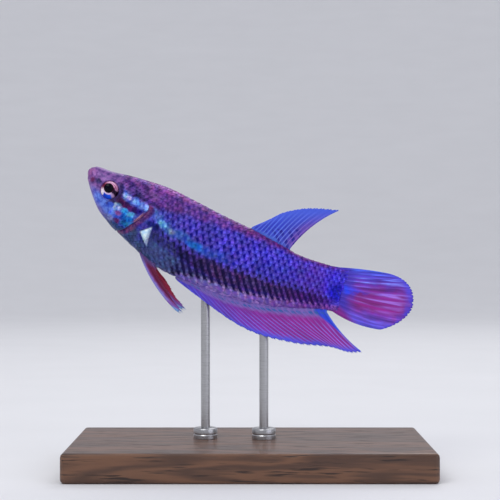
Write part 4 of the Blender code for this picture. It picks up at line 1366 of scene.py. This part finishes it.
for fin, name, core, tip in ((pelvic_fins[0], "crimson_fin_membrane", "#640c3c", "#781440"),
                             (pelvic_fins[1], "scarlet_fin_membrane", "#a01c40", "#c02c4c")):
    finishes.append((fin, fin_material(
        name, ((0.0, "#7c7cc8"), (0.13, "#7c68b8"), (0.24, "#742468"), (0.4, core), (1.0, core)),
        ((0.0, "#8c8cd4"), (0.14, "#8070c0"), (0.24, "#7c3078"), (0.42, core), (1.0, tip)),
        (("front tip", -1.45, -1.72, "#7848a0"), ("front tip", -1.72, -1.92, "#6890c8"),
         ("out ragged", 0.22, -0.06, "#5c4484")))))

# Clear fin membrane: a colourless film, faintly blue along its rays. Its root is painted near white: a
# painted glint of light on the fin's base.
clear_material = fin_material(
    "clear_fin_membrane", ((0.0, "#5054a0"), (1.0, "#5054a0")), ((0.0, "#6c74bc"), (1.0, "#686cb4")),
    (("out", 0.10, 0.0, "#d4e8f8"),), roughness=0.6, clear=True)
for fin, material in finishes + [(fin, clear_material) for fin in pectoral_fins]:
    fin.data.materials.append(material)
print("fin finishes:", len(finishes) + 1)

# %% [markdown]
# ## Eyes
# A fish's eye has no lids. The iris is a ring of bright skin, and a ball-shaped lens bulges
# through it. Both are turned on one profile here, from the lens outwards, and the ring's colours
# follow the angle round it. The wet front of the eye is the shader's coat.

# %% Eyeballs
EYE_RADIUS = 1.7
EYE_HALF_DEPTH = 1.15
PUPIL_RADIUS = 0.76
PUPIL_OFFSET = (-0.14, 0.36)    # the lens looks a little forward and up
EYE_SEGMENTS = 64


def make_eye(name, hand):
    """An eyeball turned on one profile, with its lens shifted forward and up."""
    radius = np.concatenate([
        np.linspace(0.0, PUPIL_RADIUS, 12), np.linspace(PUPIL_RADIUS + 0.03, 1.6, 22),
        [1.66, EYE_RADIUS]])
    front = EYE_HALF_DEPTH * np.sqrt(np.clip(1 - (radius / EYE_RADIUS) ** 2, 0, 1))
    lens = 0.10 * np.clip(1 - (radius / PUPIL_RADIUS) ** 2, 0, 1)
    iris = -0.07 * hump(radius - PUPIL_RADIUS - 0.03, 0.06) + 0.04 * hump(radius - 1.12, 0.22)
    back_radius = np.linspace(EYE_RADIUS, 0.0, 12)[1:]
    back = -EYE_HALF_DEPTH * np.sqrt(1 - (back_radius / EYE_RADIUS) ** 2)
    radius = np.concatenate([radius, back_radius])[:, None]
    depth = np.concatenate([front + lens + iris, back])[:, None]
    turn = np.arange(EYE_SEGMENTS)[None, :] * math.tau / EYE_SEGMENTS
    centre = place(*EYE, 0.0) / MM
    shift = ease(1.35, 0.8, radius)
    x = centre[0] + PUPIL_OFFSET[0] * shift + radius * np.cos(turn)
    z = centre[2] + PUPIL_OFFSET[1] * shift + radius * np.sin(turn)
    points = np.stack(np.broadcast_arrays(x, hand * (EYE_SIDE + depth), z), -1) * MM
    return build_net(name, points, {
        "eye_radius": np.broadcast_to(radius, x.shape), "eye_right": radius * np.cos(turn),
        "eye_up": radius * np.sin(turn)})


eyes = [make_eye("eyeball_left", -1), make_eye("eyeball_right", 1)]
print("an eye:", len(eyes[0].data.polygons), "faces")

# %% The iris
# Cornea over iris: a wet, very smooth front over skin as bright as foil, and a black pupil.
IRIS_RING = ((0, "#c080b0"), (25, "#dc98c4"), (60, "#f0bcdc"), (100, "#e0a8cc"), (118, "#a85878"),
             (132, "#58102c"), (152, "#6c2440"), (166, "#d0a8c0"), (180, "#f8e8f4"), (208, "#f0e8f8"),
             (216, "#1048d8"), (222, "#0838c8"), (278, "#1054e8"), (290, "#a890c8"), (306, "#a880ac"),
             (316, "#1c0828"), (344, "#1c0828"), (354, "#b07ca4"))      # (degrees, colour)
INNER_RING = ((0, "#581838"), (20, "#e0a0c4"), (95, "#ecb4d4"), (118, "#601c38"), (168, "#702848"),
              (184, "#f8e0f0"), (250, "#d8c4ec"), (298, "#c8a8d4"), (308, "#1c0828"), (346, "#1c0828"))
IRIS_STREAK = 0.22 * MM
eye_material, tree, shader = new_material("wet_eye")
eye_radius, eye_right, eye_up = [
    add(tree, "ShaderNodeAttribute", attribute_name=key).outputs["Fac"]
    for key in ("eye_radius", "eye_right", "eye_up")]
angle = add(tree, "ShaderNodeMath", [eye_up, eye_right], operation="ARCTAN2")
turns = add(tree, "ShaderNodeMath", [angle, 1 / math.tau, 1.0], operation="MULTIPLY_ADD")
turns = add(tree, "ShaderNodeMath", [turns], operation="FRACT")
ring_colours = [add(tree, "ShaderNodeValToRGB", {"Fac": turns}) for _ in range(2)]
for ramp, stops in zip(ring_colours, (IRIS_RING, INNER_RING)):
    set_stops(ramp, [(degrees / 360, paint(code)) for degrees, code in stops])
inner = add(tree, "ShaderNodeMapRange", [eye_radius, 1.06, 0.98])
ring = add(tree, "ShaderNodeMix", [inner, *ring_colours], data_type="RGBA")
where = add(tree, "ShaderNodeTexCoord").outputs["Object"]
streaks = add(tree, "ShaderNodeTexNoise", {"Vector": where, "Scale": 1 / IRIS_STREAK, "Detail": 3.0})
dim = add(tree, "ShaderNodeMapRange", [streaks, 0.3, 0.7, 0.7, 1.1])
colour = add(tree, "ShaderNodeVectorMath", [ring, dim], operation="SCALE")
print("iris:", len(tree.nodes), "nodes")

# %% Lines of the eye, and its gloss
# A thin dark arc over the pupil, the iris's inner edge, the eye's outer edge, and the pupil.
arc = add(tree, "ShaderNodeMath", [eye_radius, -1.16], operation="ADD")
arc = add(tree, "ShaderNodeMath", [arc], operation="ABSOLUTE")
arc = add(tree, "ShaderNodeMapRange", [arc, 0.08, 0.03])
above = add(tree, "ShaderNodeMapRange", [turns, 0.30, 0.24])
arc = add(tree, "ShaderNodeMath", [arc, above], operation="MULTIPLY")
layers = [(arc, "#802848")]
for start, end, code in ((0.90, 0.82, "#48102c"), (1.50, 1.58, "#6c3460"), (0.82, 0.77, "#020210")):
    layers.append((add(tree, "ShaderNodeMapRange", [eye_radius, start, end]), code))
for share, code in layers:
    colour = add(tree, "ShaderNodeMix", [share, colour, paint(code)], data_type="RGBA")
smooth = add(tree, "ShaderNodeMapRange", [eye_radius, 0.74, 0.82, 0.08, 0.3])
feed(shader, {"Base Color": colour, "Roughness": smooth, "IOR": 1.2, "Specular IOR Level": 0.3,
              "Coat Weight": 0.05, "Coat Roughness": 0.03})
for eye in eyes:
    eye.data.materials.append(eye_material)
print("eye finish:", len(tree.nodes), "nodes")

# %% [markdown]
# ## The stand
# A swimming fish needs something to hold it up. Two slim rods rise from a wooden block to the
# belly, each through a turned collar. Rods and collars are turned on a lathe, so here they are
# profiles spun round an upright line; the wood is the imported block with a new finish.

# %% Rods and collars
ROD_RADIUS = 0.8
ROD_REACH = 0.35                # how far a rod goes on into the belly
COLLAR_RADIUS = 2.1
COLLAR_HEIGHT = 1.6
BLOCK_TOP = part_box("stand_base")[1][2] / MM


def turned(name, profile, x, y, segments=48):
    """Spin a profile of (radius, height) points round an upright line."""
    radius, z = np.array(profile).T[:, :, None]
    turn = np.arange(segments)[None, :] * math.tau / segments
    points = np.stack(np.broadcast_arrays(x + radius * np.cos(turn), y + radius * np.sin(turn), z), -1)
    return build_net(name, points * MM)


rods, collars = {}, {}
for word in ("front", "rear"):
    low, high = np.array(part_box("stand_rod_" + word)) / MM
    x, y = (low[:2] + high[:2]) / 2
    top = high[2] + ROD_REACH
    rods[word] = turned("rod_" + word, (
        (0.0, BLOCK_TOP - 0.5), (ROD_RADIUS, BLOCK_TOP - 0.5), (ROD_RADIUS, BLOCK_TOP - 0.4),
        (ROD_RADIUS, top - 0.6), (ROD_RADIUS, top - 0.5), (ROD_RADIUS - 0.25, top - 0.1), (0.3, top),
        (0.0, top)), x, y)
    # A collar: a plain foot, a groove, a plain top with a rounded shoulder, and a bevelled hole.
    foot, rim, hole = BLOCK_TOP - 0.05, COLLAR_RADIUS, ROD_RADIUS - 0.1
    top = BLOCK_TOP + GAP + COLLAR_HEIGHT
    collars[word] = turned("collar_" + word, (
        (hole, foot), (rim - 0.1, foot), (rim, foot + 0.1), (rim, foot + 0.12), (rim, foot + 0.7),
        (rim, foot + 0.72), (rim - 0.14, foot + 0.8), (rim - 0.14, foot + 0.95), (rim, foot + 1.03),
        (rim, foot + 1.05), (rim, top - 0.25), (rim - 0.05, top - 0.1), (rim - 0.2, top),
        (ROD_RADIUS + 0.35, top), (ROD_RADIUS + 0.2, top - 0.06), (ROD_RADIUS + 0.12, top - 0.2),
        (hole, top - 0.22), (hole, foot)), x, y)
print("rods stand on the block at", round(BLOCK_TOP, 2), "mm")

# %% Steel
# Stainless steel, turned: a bright grey metal with fine tool marks round it.
TOOL_MARK = 0.12 * MM
steel_material, tree, shader = new_material("turned_stainless_steel")
where = add(tree, "ShaderNodeTexCoord").outputs["Object"]
round_it = add(tree, "ShaderNodeMapping", {"Vector": where, "Scale": (0.05, 0.05, 1.0)})
marks = add(tree, "ShaderNodeTexNoise", {"Vector": round_it, "Scale": 1 / TOOL_MARK, "Detail": 2.0})
feed(shader, {
    "Base Color": add(tree, "ShaderNodeMix", [marks, paint("#9a9a9c"), paint("#bcbcbe")],
                      data_type="RGBA"),
    "Roughness": add(tree, "ShaderNodeMapRange", [marks, 0, 1, 0.22, 0.38]),
    "Normal": add(tree, "ShaderNodeBump", {"Height": marks, "Strength": 0.2, "Distance": 0.02 * MM}),
    "Metallic": 1.0})
for piece in [*rods.values(), *collars.values()]:
    piece.data.materials.append(steel_material)
print("steel finish:", len(tree.nodes), "nodes")

# %% Walnut
# Walnut, planed and oiled: dark growth rings along the block, with short pores that catch light.
GROWTH_WARP = 9.0 * MM
PORE = 0.35 * MM
wood_material, tree, shader = new_material("oiled_walnut")
where = add(tree, "ShaderNodeTexCoord").outputs["Object"]
drawn_out = add(tree, "ShaderNodeMapping", {"Vector": where, "Scale": (0.12, 1.0, 1.6)})
warp = add(tree, "ShaderNodeTexNoise", {
    "Vector": drawn_out, "Scale": 1 / GROWTH_WARP, "Detail": 4.0, "Distortion": 0.4})
waves = add(tree, "ShaderNodeMath", [warp, 44.0], operation="MULTIPLY")
waves = add(tree, "ShaderNodeMath", [waves], operation="SINE")
growth = add(tree, "ShaderNodeMapRange", [waves, -1.0, 1.0])
tone = add(tree, "ShaderNodeMix", [growth, paint("#4a3022"), paint("#6b4832")], data_type="RGBA")
pore_place = add(tree, "ShaderNodeMapping", {"Vector": where, "Scale": (0.06, 1.0, 1.0)})
pores = add(tree, "ShaderNodeTexNoise", {"Vector": pore_place, "Scale": 1 / PORE, "Detail": 2.0})
pores = add(tree, "ShaderNodeMapRange", [pores, 0.58, 0.68])
sunk = add(tree, "ShaderNodeMath", [1.0, pores], operation="SUBTRACT")
feed(shader, {
    "Base Color": add(tree, "ShaderNodeMix", [pores, tone, paint("#2c1a12")], data_type="RGBA"),
    "Roughness": add(tree, "ShaderNodeMapRange", [pores, 0, 1, 0.38, 0.6]),
    "Normal": add(tree, "ShaderNodeBump", {"Height": sunk, "Strength": 0.3, "Distance": 0.05 * MM}),
    "Coat Weight": 0.1})
block = bpy.data.objects["stand_base"]
block.data.materials.clear()
block.data.materials.append(wood_material)
print("walnut finish:", len(tree.nodes), "nodes")

# %% [markdown]
# ## Putting the pieces on the body
# Every piece rides on the one body that the model has, and the solids that it stands for are hidden.

# %% Put the pieces on the body
pieces = [(skin, "skin", FLESH_NODES), (scales[0], "skin", ()), (scales[1], "skin", ()),
          (dorsal_fin, "fin", ("dorsal_fin",)), (tail_fin, "fin", ("tail_fin",)),
          (anal_fin, "fin", ("anal_fin",))]
for i, word in enumerate(("left", "right")):
    pieces += [(pelvic_fins[i], "fin", ("pelvic_fin_" + word,)),
               (pectoral_fins[i], "clear_fin", ("pectoral_fin_" + word,)),
               (eyes[i], "eye", ("eye_" + word,))]
for word in ("front", "rear"):
    pieces += [(rods[word], "stand_steel", ("stand_rod_" + word,)),
               (collars[word], "stand_steel", ("stand_collar_" + word,))]
for piece, slot, nodes in pieces:
    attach(piece, "root")
    if nodes:
        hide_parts(*nodes)
